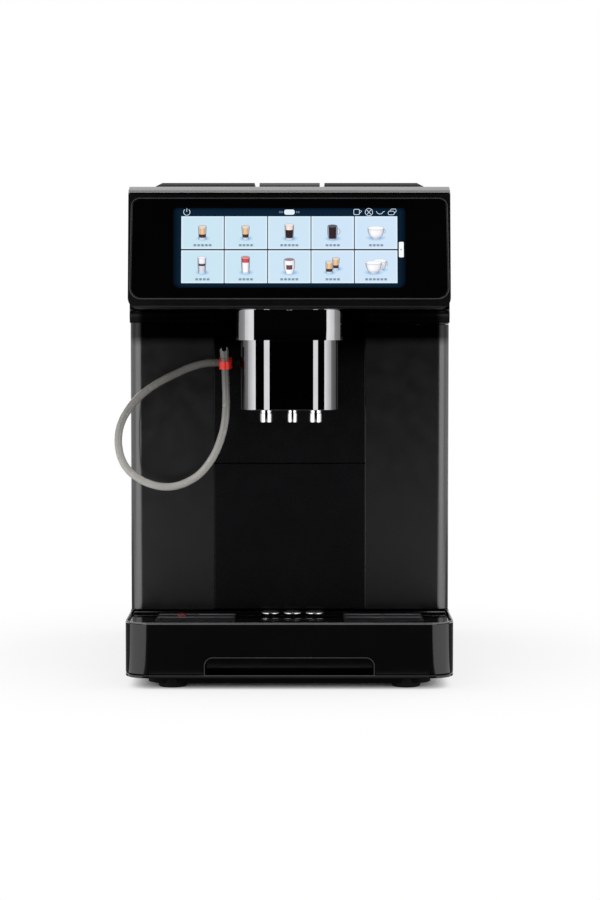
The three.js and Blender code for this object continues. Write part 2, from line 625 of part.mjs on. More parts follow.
// ---------------------------------------------------------------- spout
function spoutCollar() {
  const top = HEAD_BOTTOM - GAP;
  const outerX = [-COLLAR_W / 2, COLLAR_W / 2];
  const outerY = [COLLAR_FRONT, BODY_FRONT - GAP];
  const plan = alongZ(cornered(outerX, outerY, [COLLAR_CORNER, COLLAR_CORNER, 0, 0]), [COLLAR_LOW, top]);
  const outline = cornered(outerX, [COLLAR_LOW, top], [0, 0, COLLAR_SHOULDER, COLLAR_SHOULDER]);
  const outer = shared(plan, alongY(outline, [COLLAR_FRONT - 1, BODY_FRONT]));
  const innerX = [-SPOUT_W / 2 - 0.8, SPOUT_W / 2 + 0.8];
  const innerY = [SPOUT_FRONT - 0.8, SPOUT_BACK + 0.8];
  const bend = SPOUT_CORNER + 0.8;
  const inner = alongZ(cornered(innerX, innerY, [bend, bend, 0, 0]), [COLLAR_LOW - 1, top + 1]);
  return cutFrom(outer, inner);
}

const CONNECTOR_Z = 335;
const CONNECTOR_Y = -165;
const CONNECTOR_START = -60.3;
const CONNECTOR_END = -73.6;
const RING_X = -67.4;
const RING_Y = -177;
const RING_Z = [328.3, 336.4];

function spoutSlider() {
  const high = SPOUT_LOW + SPOUT_LENGTH;
  const bends = [SPOUT_CORNER, SPOUT_CORNER, 0, 0];
  const outerX = [-SPOUT_W / 2, SPOUT_W / 2];
  const outer = alongZ(cornered(outerX, [SPOUT_FRONT, SPOUT_BACK], bends), [SPOUT_LOW, high]);
  const innerBends = bends.map((radius) => Math.max(0, radius - 3));
  const innerX = [-SPOUT_W / 2 + 3, SPOUT_W / 2 - 3];
  const innerShape = cornered(innerX, [SPOUT_FRONT + 3, SPOUT_BACK - 3], innerBends);
  const inner = alongZ(innerShape, [SPOUT_LOW + 3, high + 1]);
  const drips = NOZZLE_X.map((at) => rod(3, SPOUT_LOW - 1, SPOUT_LOW + 4, 12).translate(at, NOZZLE_Y, 0));
  const spigotX = [CONNECTOR_START + GAP, -SPOUT_W / 2 + 1];
  const spigot = rodX(4.2, spigotX).translate(0, CONNECTOR_Y, CONNECTOR_Z);
  return joined(cutFrom(outer, inner, ...drips), spigot);
}

function nozzle(radius) {
  const top = SPOUT_LOW - GAP;
  const low = top - NOZZLE_H;
  const bore = radius * 0.55;
  const outside = [[radius - 1, low], [radius, low + 1], [radius, top]];
  return turned([[bore, low], ...outside, [bore, top], [bore, low]], 18);
}

function milkConnector() {
  const barrel = rodX(5.8, [CONNECTOR_END, CONNECTOR_START]).translate(0, CONNECTOR_Y, CONNECTOR_Z);
  const ring = rod(6, ...RING_Z).translate(RING_X, RING_Y, 0);
  const bridge = block([RING_X - 4.6, RING_X + 5], [RING_Y, CONNECTOR_Y], [RING_Z[0] + 1.2, RING_Z[1] - 0.8]);
  const eye = rod(4.6, 320, 345).translate(RING_X, RING_Y, 0);
  return cutFrom(joined(barrel, bridge, ring), eye);
}

// Free milk hose: out of the connector to the left, down in one loose loop and up through the parking ring.
const HOSE_ROUTE = [
  [-74, -165, 335], [-88.5, -165.5, 334.2], [-104.2, -166, 330], [-119.8, -166.5, 323.2],
  [-135.4, -167, 315.4], [-149, -167.5, 306.6], [-160.4, -168, 296.7], [-169.8, -168.5, 285.2],
  [-177.1, -169, 271.7], [-180.2, -169.5, 258.1], [-179.7, -170, 244.5], [-176, -170.5, 232],
  [-168.8, -171, 221.5], [-158.3, -171.5, 213.1], [-145.8, -172, 207.4], [-132.3, -172.5, 204.7],
  [-118.8, -173, 205.8], [-105.2, -173.5, 211], [-93.8, -174, 218.9], [-84.4, -174.5, 229.9],
  [-77.1, -175, 242.4], [-71.9, -175.5, 256], [-68.2, -176, 270.6], [-66.6, -176.5, 286.3],
  [-66.4, -177, 301.9], [-66.9, -177, 317.5], [-67.3, -177, 328], [-67.8, -177, 339.6],
];
const HOSE_R = 4;
const TIP_H = 11.6;

function hose() {
  return pipe(HOSE_ROUTE.map((point) => new THREE.Vector3(...point)), HOSE_R, 52, 8);
}

function hoseTip() {
  const body = turned([[0, 0], [4.1, 0], [4.5, 2.5], [4.6, TIP_H], [0, TIP_H]], 18);
  const mouth = [[-2.6, TIP_H + 1], [2.6, TIP_H + 1], [2, 8], [0, 6.8], [-2, 8]];
  const slant = [[-6, TIP_H + 1], [-1, TIP_H + 1], [-6, TIP_H - 4]];
  return cutFrom(body, alongY(polygon(mouth), [-8, 8]), alongY(polygon(slant), [-8, 8]));
}

function buildSpout() {
  piece('spout_collar', spoutCollar(), darkChrome);
  piece('spout_slider', spoutSlider(), darkChrome);
  piece('nozzle_left', nozzle(6.75), chrome, machine, [NOZZLE_X[0], NOZZLE_Y, 0]);
  piece('nozzle_centre', nozzle(5.5), chrome, machine, [NOZZLE_X[1], NOZZLE_Y, 0]);
  piece('nozzle_right', nozzle(6.75), chrome, machine, [NOZZLE_X[2], NOZZLE_Y, 0]);
  piece('milk_connector', milkConnector(), red);
  piece('milk_hose', hose(), silicone);
  const tip = piece('milk_hose_tip', hoseTip(), silicone, machine, [-67.85, RING_Y, 340]);
  tip.rotation.y = -0.06;
}

// ---------------------------------------------------------------- beans, grinders and brewing
const NECK = { x: [GRINDER_X - 14, GRINDER_X + 14], y: [GRINDER_Y - 14, GRINDER_Y + 14] };

function inset(rect, wall) {
  return { x: [rect.x[0] + wall, rect.x[1] - wall], y: [rect.y[0] + wall, rect.y[1] - wall] };
}

function funnel(mouth, neck, z, wall) {
  const [bottom, shoulder, top] = z;
  const stub = block(neck.x, neck.y, [bottom, shoulder + 0.5]);
  const outer = joined(frustum(neck, mouth, [shoulder, top]), stub);
  const innerNeck = inset(neck, wall);
  const innerMouth = inset(mouth, wall);
  const inner = joined(
    frustum(innerNeck, innerMouth, [shoulder + 1, top]),
    block(innerNeck.x, innerNeck.y, [bottom - 1, shoulder + 1.2]),
    block(innerMouth.x, innerMouth.y, [top - 0.2, top + 1]),
  );
  return cutFrom(outer, inner);
}

function grinder() {
  return turned([
    [0, 290], [28, 290], [28, 380], [33, 384], [33, 418.5],
    [11, 418.5], [11, 412], [27, 412], [27, 388], [0, 388],
  ], 24);
}

function burr() {
  const cone = turned([[0, 390], [25, 390], [25, 398], [9, 409], [0, 409]], 20);
  const teeth = [0, 1, 2, 3].map((i) => block([-26, 26], [-1, 1], [402, 412]).rotateZ(i * Math.PI / 4));
  return cutFrom(cone, ...teeth);
}

function brewFrame() {
  const foundation = block([-60, 60], [-80, 60], [230, 232.5]);
  const waste = block([-30, 30], [-70, -48], [228, 235]);
  const plates = [[-50.5, -48], [48, 50.5]].map((x) => block(x, [-70, 30], [231, 395]));
  const bar = block([-49, 49], [BREW_Y - 7, BREW_Y + 7], [368, 380]);
  const head = turned([[0, 355], [20, 355], [20, 362], [12, 366], [12, 390], [0, 390]], 24);
  return joined(cutFrom(foundation, waste), ...plates, bar, head.translate(0, BREW_Y, 0));
}

function brewChamber() {
  const wall = rod(27, 300, 350, 28);
  const ears = block([-47.5, 47.5], [-6, 6], [312, 330]);
  return cutFrom(joined(wall, ears), rod(20.8, 290, 360, 28));
}

function brewPiston() {
  return turned([[0, 262], [6, 262], [6, 300], [18, 303], [20, 305], [20, 315], [0, 315]], 24);
}

function boiler() {
  return turned([[0, 78], [24, 78], [30, 84], [30, 214], [24, 220], [8, 222], [8, 230], [0, 230]], 24);
}

function pump() {
  const coil = rodY(20, [20, 90]);
  const plunger = rodY(11, [85, 128]);
  const stand = block([-14, 14], [30, 80], [-30, -10]);
  return joined(coil, plunger, stand);
}

function controlBoard() {
  const board = block([88, 89.6], [-120, 60], [85, 225]);
  const sink = block([89, 102], [-100, -60], [100, 150]);
  const relays = [0, 1, 2].map((i) => block([89, 99], [-40 + i * 24, -24 + i * 24], [110, 128]));
  const plug = block([89, 97], [-20, 30], [190, 200]);
  return joined(board, sink, plug, ...relays);
}

const PIPE_ROUTE = [
  [-126, -85, 230.5], [-126, -84, 248], [-112, -62, 266], [-92, -30, 276], [-70, -20, 292], [-52, -20, 300],
];

function buildBrewing() {
  const mouth = { x: HOPPER_X, y: HOPPER_Y };
  const hopper = funnel(mouth, NECK, [419, 430, 514.5], 2.2);
  piece('right_hopper', hopper, clearSmoke);
  piece('left_hopper', mirrored(hopper), clearSmoke);
  const chuteMouth = { x: [-24, 24], y: [-70, -10] };
  const chuteNeck = { x: [-12, 12], y: [-50, -24] };
  piece('powder_chute', funnel(chuteMouth, chuteNeck, [398, 420, 514.5], 2), greyPlastic);
  for (const [side, sign] of [['left', -1], ['right', 1]]) {
    piece(`${side}_grinder`, grinder(), greyPlastic, machine, [sign * GRINDER_X, GRINDER_Y, 0]);
    piece(`${side}_burr`, burr(), steel, machine, [sign * GRINDER_X, GRINDER_Y, 0]);
  }
  piece('brew_frame', brewFrame(), greyPlastic);
  piece('brew_chamber', brewChamber(), greyPlastic, machine, [0, BREW_Y, 0]);
  piece('brew_piston', brewPiston(), steel, machine, [0, BREW_Y, 0]);
  piece('coffee_boiler', boiler(), steel, machine, [-126, -85, 0]);
  piece('water_pump', pump(), paintedSteel, machine, [-126, 0, 106]);
  const route = PIPE_ROUTE.map((point) => new THREE.Vector3(...point));
  piece('coffee_pipe', pipe(route, 3, 16, 8), silicone);
  piece('control_board', controlBoard(), boardGreen);
  piece('power_supply', block([96, 134], [80, 140], [76, 150]), paintedSteel);
}

// ---------------------------------------------------------------- tank, fan and mains inlet
function waterTank() {
  const outer = block([-TANK_HALF, TANK_HALF], [TANK_FRONT, TANK_BACK], [TANK_LOW, TANK_HIGH]);
  const wall = 2.5;
  const insideX = [-TANK_HALF + wall, TANK_HALF - wall];
  const inside = block(insideX, [TANK_FRONT + wall, TANK_BACK - wall], [TANK_LOW + wall, TANK_HIGH + 1]);
  const valve = rod(10, 117, TANK_LOW + 1).translate(0, 190, 0);
  return joined(cutFrom(outer, inside), valve);
}

function tankLid() {
  const plate = block([-TANK_HALF, TANK_HALF], [TANK_FRONT, TANK_BACK], [TANK_HIGH + GAP, HEAD_TOP]);
  const grip = block([-22, 22], [TANK_FRONT + 8, TANK_FRONT + 26], [TANK_HIGH + 5, HEAD_TOP + 1]);
  return cutFrom(plate, grip);
}

function fanHousing() {
  const frame = block([-25, 25], [221.5, 236.4], [-25, 25]);
  const strut = block([-24, 24], [221.5, 223.5], [-1.5, 1.5]);
  const cross = block([-1.5, 1.5], [221.5, 223.5], [-24, 24]);
  return joined(cutFrom(frame, rodY(22.8, [220, 238], 28)), strut, cross, rodY(9, [221.5, 223.5]));
}

function fanRotor() {
  const blades = [0, 1, 2, 3, 4].map((i) => {
    const blade = block([7, 21.5], [-4.5, 4.5], [-0.9, 0.9]).rotateX(0.6).translate(0, 229.5, 0);
    return blade.rotateY(i * Math.PI * 0.4);
  });
  return joined(rodY(8.5, [224.2, 235.4]), ...blades);
}

function mainsInlet() {
  const body = block([-15.5, 15.5], [214, REAR - 0.5], INLET_Z);
  const socket = block([-11, 11], [224, REAR + 1], [96, 112]);
  const switchWell = block([-9.5, 9.5], [227, REAR + 1], [142, 164]);
  const pins = [-6, 0, 6].map((x) => block([x - 1, x + 1], [222, 232], [102, 106]));
  return joined(cutFrom(body, socket, switchWell), ...pins);
}

const ROCKER_Y = 232;
const ROCKER_Z = 153;

function rocker() {
  return alongX(polygon([[-1.5, -8.6], [3.5, -8.6], [6.5, 8.6], [-1.5, 8.6]]), [-8.6, 8.6]);
}

function buildRear() {
  piece('water_tank', waterTank(), clearSmoke);
  piece('tank_lid', tankLid(), darkGrey);
  piece('fan_housing', fanHousing(), glossBlack, machine, [FAN_X, 0, FAN_Z]);
  piece('fan_rotor', fanRotor(), glossBlack, machine, [FAN_X, 0, FAN_Z]);
  piece('mains_inlet', mainsInlet(), glossBlack, machine, [INLET_X, 0, 0]);
  piece('power_rocker', rocker(), glossBlack, machine, [INLET_X, ROCKER_Y, ROCKER_Z]);
}

buildBase();
buildBody();
buildHead();
buildSpout();
buildBrewing();
buildRear();

export default machine;
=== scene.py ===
"""Counter-top bean-to-cup coffee machine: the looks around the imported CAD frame.

Metres, +X right, -Y front, +Z up, as in the frame. MM turns the sizes below into metres.
"""
import json
import math

import bmesh
import bpy
import numpy as np
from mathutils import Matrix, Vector


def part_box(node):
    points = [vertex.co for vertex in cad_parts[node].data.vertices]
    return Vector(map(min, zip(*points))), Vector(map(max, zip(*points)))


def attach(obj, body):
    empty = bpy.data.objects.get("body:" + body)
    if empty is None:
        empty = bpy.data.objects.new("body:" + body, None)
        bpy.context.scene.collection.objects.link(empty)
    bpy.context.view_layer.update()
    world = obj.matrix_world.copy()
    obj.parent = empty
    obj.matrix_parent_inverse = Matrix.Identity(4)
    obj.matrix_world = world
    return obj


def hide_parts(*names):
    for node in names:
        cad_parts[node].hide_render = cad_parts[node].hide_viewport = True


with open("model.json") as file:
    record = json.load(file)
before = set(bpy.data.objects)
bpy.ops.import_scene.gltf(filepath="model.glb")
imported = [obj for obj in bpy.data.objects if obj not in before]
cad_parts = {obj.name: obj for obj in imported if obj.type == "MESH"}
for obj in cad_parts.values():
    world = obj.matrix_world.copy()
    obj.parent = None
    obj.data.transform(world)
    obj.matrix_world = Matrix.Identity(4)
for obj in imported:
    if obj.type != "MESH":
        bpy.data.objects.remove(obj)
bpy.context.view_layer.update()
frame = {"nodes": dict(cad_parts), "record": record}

MM = 0.001
record = frame["record"]
scene = bpy.context.scene
node_body = {n: body for body, nodes in record["behaviour"]["bodies"].items() for n in nodes}
node_slot = {row["node"]: row["material_slot"] for row in record["subparts"]}

# -------------------- driving dimensions, mm
HEAD_FRONT = -222.0
HEAD_BOTTOM = 391.0
HEAD_TILT = math.radians(8.2)
GLASS_W = 324.2
GLASS_FLARE = 0.0105
GLASS_LOW, GLASS_HIGH = 11.5, 115.0
GLASS_RADII = (11, 11, 8, 8)
SPOUT_HALF = 51.5
SPOUT_FRONT = -196.5
COLLAR_HALF = 56.5
COLLAR_FRONT = -200.0
COLLAR_CORNER = 24.0
NOZZLE_Y = -178
DRAIN_CAP_Y = -152
BODY_FRONT = -136.0
TRAY_HALF = 170
TRAY_FRONT = -240
TRAY_BACK = -137.5
TRAY_CORNER = 26.0
# in m, radians and mm
CAMERA_PLACE = (0.011, -2.69, 0.393)
CAMERA_DOWN = math.radians(3.4)
CAMERA_LENS = 96.0


# -------------------- camera
def place_camera():
    data = bpy.data.cameras.new("camera")
    data.lens = CAMERA_LENS
    data.sensor_width = 36.0
    camera = bpy.data.objects.new("camera", data)
    camera.location = CAMERA_PLACE
    camera.rotation_euler = (math.pi / 2 - CAMERA_DOWN, 0.0, 0.0)
    scene.collection.objects.link(camera)
    scene.camera = camera


place_camera()


# -------------------- node-based materials
def to_linear(value):
    value /= 255.0
    return value / 12.92 if value <= 0.04045 else ((value + 0.055) / 1.055) ** 2.4


def rgb(red, green, blue):
    return (to_linear(red), to_linear(green), to_linear(blue), 1.0)


# m, painted shade under the head: where it ends behind a front, the half widths where it weakens
PAINTED_SHADE_FACE = (-0.124, -0.118)
PAINTED_SHADE_EDGE = (0.156, 0.162)


class Nodes:
    """A material's node tree with a principled shader and short helpers for textures."""

    def __init__(self, name):
        self.material = bpy.data.materials.new(name)
        self.material.use_nodes = True
        self.tree = self.material.node_tree
        self.shader = self.tree.nodes["Principled BSDF"]
        coordinates = self.tree.nodes.new("ShaderNodeTexCoord")
        self.place = coordinates.outputs["Object"]

    def link(self, source, target):
        self.tree.links.new(source, target)

    def stretched(self, scale):
        mapping = self.tree.nodes.new("ShaderNodeMapping")
        mapping.inputs["Scale"].default_value = scale
        self.link(self.place, mapping.inputs["Vector"])
        return mapping.outputs["Vector"]

    def noise(self, scale, detail=3.0, stretch=None):
        node = self.tree.nodes.new("ShaderNodeTexNoise")
        node.inputs["Scale"].default_value = scale
        node.inputs["Detail"].default_value = detail
        self.link(self.stretched(stretch) if stretch else self.place, node.inputs["Vector"])
        return node.outputs["Fac"]

    def span(self, source, low, high, start=0.3, end=0.7):
        node = self.tree.nodes.new("ShaderNodeMapRange")
        node.inputs["From Min"].default_value = start
        node.inputs["From Max"].default_value = end
        node.inputs["To Min"].default_value = low
        node.inputs["To Max"].default_value = high
        self.link(source, node.inputs["Value"])
        return node.outputs["Result"]

    def ramp(self, source, stops):
        node = self.tree.nodes.new("ShaderNodeValToRGB")
        elements = node.color_ramp.elements
        while len(elements) < len(stops):
            elements.new(0.5)
        for element, (position, color) in zip(elements, stops):
            element.position = position
            element.color = color
        self.link(source, node.inputs["Fac"])
        return node.outputs["Color"]

    def bump(self, source, strength, distance):
        node = self.tree.nodes.new("ShaderNodeBump")
        node.inputs["Strength"].default_value = strength
        node.inputs["Distance"].default_value = distance
        self.link(source, node.inputs["Height"])
        self.link(node.outputs["Normal"], self.shader.inputs["Normal"])

    def axis(self, name, mirrored=False):
        """The object's own X, Y or Z, and its distance from the middle where mirrored."""
        split = self.tree.nodes.new("ShaderNodeSeparateXYZ")
        self.link(self.place, split.inputs["Vector"])
        if not mirrored:
            return split.outputs[name]
        return self.math("ABSOLUTE", split.outputs[name])

    def math(self, operation, *values):
        node = self.tree.nodes.new("ShaderNodeMath")
        node.operation = operation
        for socket, value in zip(node.inputs, values):
            if isinstance(value, float):
                socket.default_value = value
            else:
                self.link(value, socket)
        return node.outputs["Value"]

    def scaled(self, color, factor):
        """A colour times a factor."""
        node = self.tree.nodes.new("ShaderNodeVectorMath")
        node.operation = "SCALE"
        self.link(color, node.inputs[0])
        self.link(factor, node.inputs["Scale"])
        return node.outputs["Vector"]

    def set(self, **values):
        for key, value in values.items():
            self.shader.inputs[key.replace("_", " ")].default_value = value
        return self


def moulded(name, dark, light, rough, grain, bump, ior, painted_shade_from=None):
    """Moulded plastic: two close tones, a fine grain and slightly uneven gloss.

    Its last argument, a pair of heights, paints shade: over them a front loses nearly all its gloss
    and darkens, up into the head's hollow, where the head shades it.
    """
    nodes = Nodes(name).set(IOR=ior)
    tone = nodes.ramp(nodes.noise(14.0, 4.0), [(0.3, rgb(*dark)), (0.7, rgb(*light))])
    # painted shade under the head: gloss and colour fade out up into its hollow
    if painted_shade_from:
        up = nodes.span(nodes.axis("Z"), 0.0, 1.0, *painted_shade_from)
        front = nodes.span(nodes.axis("Y"), 1.0, 0.0, *PAINTED_SHADE_FACE)
        depth = nodes.span(nodes.axis("X", True), 0.97, 0.75, *PAINTED_SHADE_EDGE)
        painted_shade = nodes.math("MULTIPLY", nodes.math("MULTIPLY", up, front), depth)
        keep = nodes.math("SUBTRACT", 1.0, painted_shade)
        nodes.link(nodes.math("MULTIPLY", keep, 0.5), nodes.shader.inputs["Specular IOR Level"])
        tone = nodes.scaled(tone, keep)
    nodes.link(tone, nodes.shader.inputs["Base Color"])
    gloss = nodes.span(nodes.noise(60.0, 5.0), rough[0], rough[1])
    nodes.link(gloss, nodes.shader.inputs["Roughness"])
    nodes.bump(nodes.noise(grain, 2.0), bump, 0.0004)
    return nodes.material


EVEN = (1.0, 1.0, 1.0)


def metal(name, dark, light, rough, grain, bump, stretch=EVEN, painted_side_shade=()):
    """Metal, polished or with a stretched brushing.

    Its last rows of (from, to, share) are painted shade: over these distances from the middle
    it darkens to a share.
    """
    nodes = Nodes(name).set(Metallic=1.0)
    lines = nodes.noise(grain, 3.0, stretch)
    tone = nodes.ramp(lines, [(0.3, rgb(*dark)), (0.7, rgb(*light))])
    # painted shade: the colour, and so the reflection, darkens towards the sides
    for start, end, low in painted_side_shade:
        tone = nodes.scaled(tone, nodes.span(nodes.axis("X", True), 1.0, low, start, end))
    nodes.link(tone, nodes.shader.inputs["Base Color"])
    nodes.link(nodes.span(lines, rough[0], rough[1]), nodes.shader.inputs["Roughness"])
    nodes.bump(lines, bump, 0.0002)
    return nodes.material


def silicone(name):
    """Milky tube with painted shade: darker near its top, under the spout, paler in its low loop.
    """
    nodes = Nodes(name).set(IOR=1.45, Subsurface_Weight=0.2, Subsurface_Scale=0.003)
    nodes.set(Transmission_Weight=0.12)
    # painted shade: the tone darkens towards the top of the tube
    shade = nodes.span(nodes.axis("Z"), 0.0, 1.0, 0.325, 0.225)
    blend = nodes.math("ADD", shade, nodes.span(nodes.noise(25.0, 2.0), -0.04, 0.04))
    tone = nodes.ramp(blend, [(0.0, rgb(104, 103, 100)), (1.0, rgb(190, 188, 183))])
    nodes.link(tone, nodes.shader.inputs["Base Color"])
    nodes.link(nodes.span(nodes.noise(90.0, 3.0), 0.2, 0.3), nodes.shader.inputs["Roughness"])
    nodes.bump(nodes.noise(300.0, 2.0), 0.02, 0.0004)
    return nodes.material


def smoked(name, color, clear):
    """Tinted clear plastic; clear is the share of light it lets through."""
    nodes = Nodes(name).set(IOR=1.49, Transmission_Weight=clear, Base_Color=color)
    nodes.link(nodes.span(nodes.noise(50.0, 4.0), 0.04, 0.12), nodes.shader.inputs["Roughness"])
    nodes.bump(nodes.noise(200.0, 2.0), 0.02, 0.0003)
    return nodes.material


def painted_light(name, strength):
    """What a lit display shows: the mesh's own painted colours, seen through polished glass."""
    nodes = Nodes(name).set(Roughness=0.05, IOR=1.3, Emission_Strength=strength)
    nodes.set(Base_Color=(0.002, 0.002, 0.003, 1.0))
    paint = nodes.tree.nodes.new("ShaderNodeVertexColor")
    paint.layer_name = "paint"
    nodes.link(paint.outputs["Color"], nodes.shader.inputs["Emission Color"])
    return nodes.material


def circuit_board(name):
    """Green board with fine copper lines."""
    nodes = Nodes(name).set(IOR=1.5, Roughness=0.35)
    cells = nodes.tree.nodes.new("ShaderNodeTexBrick")
    cells.inputs["Scale"].default_value = 60.0
    cells.inputs["Mortar Size"].default_value = 0.03
    cells.inputs["Color1"].default_value = rgb(18, 84, 44)
    cells.inputs["Color2"].default_value = rgb(14, 70, 38)
    cells.inputs["Mortar"].default_value = rgb(90, 140, 70)
    nodes.link(nodes.place, cells.inputs["Vector"])
    nodes.link(cells.outputs["Color"], nodes.shader.inputs["Base Color"])
    nodes.bump(nodes.noise(400.0, 2.0), 0.1, 0.0003)
    return nodes.material


# dark tone, light tone, roughness, grain, bump, IOR, heights of the painted shade under the head
PLASTICS = {
    "satin_black": ((9, 9, 10), (12, 12, 13), (0.21, 0.26), 1400.0, 0.05, 1.9, (0.352, 0.362)),
    "satin_centre": ((12, 12, 14), (15, 15, 17), (0.24, 0.30), 1400.0, 0.06, 1.28, (0.325, 0.36)),
    "head_black": ((12, 12, 13), (15, 15, 16), (0.16, 0.2), 1400.0, 0.03, 1.75),
    "lid_black": ((9, 9, 10), (12, 12, 13), (0.22, 0.27), 1400.0, 0.04, 1.3),
    "gloss_black": ((7, 7, 8), (9, 9, 10), (0.08, 0.12), 300.0, 0.008, 1.5),
    "glass_black": ((3, 3, 4), (5, 5, 6), (0.03, 0.05), 60.0, 0.004, 1.45),
    "cover_black": ((8, 8, 9), (11, 11, 12), (0.07, 0.10), 300.0, 0.008, 1.5),
    "frame_black": ((6, 6, 7), (9, 9, 10), (0.6, 0.7), 700.0, 0.1, 1.3),
    "dark_grey": ((26, 26, 28), (31, 31, 33), (0.24, 0.30), 1000.0, 0.02, 1.45),
    # painted highlight: light grey for the beads that stand for edges catching the light
    "bead_highlight_grey": ((66, 66, 68), (76, 76, 78), (0.2, 0.3), 900.0, 0.02, 1.5),
    # painted highlight: light grey for the bead along the tray's top edge
    "rim_highlight_grey": ((98, 98, 100), (106, 106, 108), (0.2, 0.3), 900.0, 0.02, 1.5),
    "rubber": ((10, 10, 10), (18, 18, 18), (0.75, 0.9), 700.0, 0.3, 1.5),
    "red_plastic": ((214, 34, 24), (232, 46, 34), (0.28, 0.38), 600.0, 0.08, 1.47),
    "float_red": ((84, 16, 20), (104, 22, 26), (0.2, 0.3), 600.0, 0.05, 1.47),
    "sheet_steel": ((108, 112, 116), (124, 128, 132), (0.4, 0.5), 500.0, 0.15, 1.5),
    "grey_plastic": ((84, 86, 90), (98, 100, 104), (0.45, 0.58), 700.0, 0.2, 1.48),
}
# dark tone, light tone, roughness, grain, bump, stretch of the brushing, painted shade at the sides
METALS = {
    "cap_chrome": ((222, 222, 224), (232, 232, 234), (0.2, 0.26), 60.0, 0.004),
    "chrome": ((228, 228, 230), (236, 236, 238), (0.05, 0.08), 60.0, 0.004),
    # the slider's and the collar's sides get painted shade on their reflections
    "mirror_black": ((156, 156, 158), (162, 162, 164), (0.03, 0.05), 40.0, 0.004, EVEN,
                     [(0.037, 0.0465, 0.22), (0.0478, 0.049, 0.12)]),
    "mirror_collar": ((160, 160, 162), (166, 166, 168), (0.03, 0.05), 40.0, 0.004, EVEN,
                      [(0.041, 0.055, 0.26)]),
    "grille_metal": ((84, 84, 87), (100, 100, 103), (0.36, 0.44), 300.0, 0.004, (0.2, 6.0, 1.0)),
    "rail_metal": ((176, 176, 179), (196, 196, 199), (0.42, 0.5), 300.0, 0.004, (0.2, 6.0, 1.0)),
    "steel": ((150, 150, 152), (186, 186, 188), (0.2, 0.34), 300.0, 0.02, (1.0, 1.0, 12.0)),
}
MATERIALS = {
    "silicone": silicone("silicone"),
    "smoke_clear": smoked("smoke_clear", rgb(120, 122, 128), 0.8),
    "board": circuit_board("board"),
    "display": painted_light("display", 1.0),
}
MATERIALS.update((name, moulded(name, *values)) for name, values in PLASTICS.items())
MATERIALS.update((name, metal(name, *values)) for name, values in METALS.items())


# -------------------- mesh helpers
# weld distance of a CAD node's corners and of a turned piece's, m, and what counts as flat
WELD, FINE_WELD = 2e-6, 1e-7
FLAT_ANGLE = math.radians(0.6)


def cleaned(mesh, weld=0.0, flat=0.0):
    """Welds corners, makes flat faces whole and turns every face outwards."""
    work = bmesh.new()
    work.from_mesh(mesh)
    if weld:
        bmesh.ops.remove_doubles(work, verts=work.verts, dist=weld)
    if flat:
        bmesh.ops.dissolve_limit(work, angle_limit=flat, verts=work.verts, edges=work.edges)
    bmesh.ops.recalc_face_normals(work, faces=work.faces)
    work.to_mesh(mesh)
    work.free()


def mesh_object(name, points, faces):
    """A piece from points in metres and its faces."""
    mesh = bpy.data.meshes.new(name)
    mesh.from_pydata([tuple(p) for p in points], [], faces)
    mesh.validate()
    cleaned(mesh)
    piece = bpy.data.objects.new(name, mesh)
    scene.collection.objects.link(piece)
    return piece


def settle(piece):
    """Applies the piece's modifiers to its mesh."""
    bpy.context.view_layer.update()
    graph = bpy.context.evaluated_depsgraph_get()
    mesh = bpy.data.meshes.new_from_object(piece.evaluated_get(graph))
    piece.modifiers.clear()
    old = piece.data
    piece.data = mesh
    bpy.data.meshes.remove(old)
    return piece


def smooth(piece, angle=32.0):
    """Smooth shading with sharp marks on edges over an angle in degrees."""
    for polygon in piece.data.polygons:
        polygon.use_smooth = True
    piece.data.set_sharp_from_angle(angle=math.radians(angle))
    return piece


def eased(piece, width, segments=3, angle=30.0, crease=33.0):
    """Rounds every edge sharper than angle by width (mm); flats stay flat and blends stay soft."""
    smooth(piece)
    if width:
        bevel = piece.modifiers.new("ease", "BEVEL")
        bevel.width = width * MM
        bevel.segments = segments
        bevel.limit_method = "ANGLE"
        bevel.angle_limit = math.radians(angle)
        bevel.miter_outer = "MITER_ARC"
    return weighted(settle(piece), crease)


def weighted(piece, crease):
    """Shades blends softly up to an angle, with the flats kept flat."""
    smooth(piece, crease)
    flat = piece.modifiers.new("flat", "WEIGHTED_NORMAL")
    flat.mode = "FACE_AREA"
    flat.weight = 100
    flat.keep_sharp = True
    return settle(piece)


def trim(piece, material, body):
    """Gives a detail that stands for no node its material and body."""
    piece.data.materials.clear()
    piece.data.materials.append(MATERIALS[material])
    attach(piece, body)
    return piece


def dress(piece, material, node):
    """Gives a piece its material and the body of the node it stands for, and hides that node."""
    trim(piece, material, node_body[node])
    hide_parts(node)
    return piece


# plates with many openings keep the triangles they were cut into
HOLED = {"top_cover", "drip_grille_left", "drip_grille_right", "fan_housing", "cup_light"}


def refined(node, width, segments=3):
    """A copy of a CAD node with its flat faces made whole again and its edges rounded."""
    piece = frame["nodes"][node].copy()
    piece.data = piece.data.copy()
    for key in list(piece.keys()):
        del piece[key]
    piece.parent = None
    piece.name = node + "_shape"
    piece.data.name = piece.name
    scene.collection.objects.link(piece)
    cleaned(piece.data, WELD, 0.0 if node in HOLED else FLAT_ANGLE)
    if piece.data.has_custom_normals:
        bpy.context.view_layer.objects.active = piece
        bpy.ops.mesh.customdata_custom_splitnormals_clear()
    return eased(piece, width, segments)


def side_ring(i, count):
    """The side face from corner i of one outline to the next outline of as many points."""
    return (i, (i + 1) % count, (i + 1) % count + count, i + count)


def prism_faces(count):
    """Two ends and the sides between two outlines of as many points."""
    ends = [tuple(range(count)), tuple(range(count, 2 * count))]
    return ends + [side_ring(i, count) for i in range(count)]


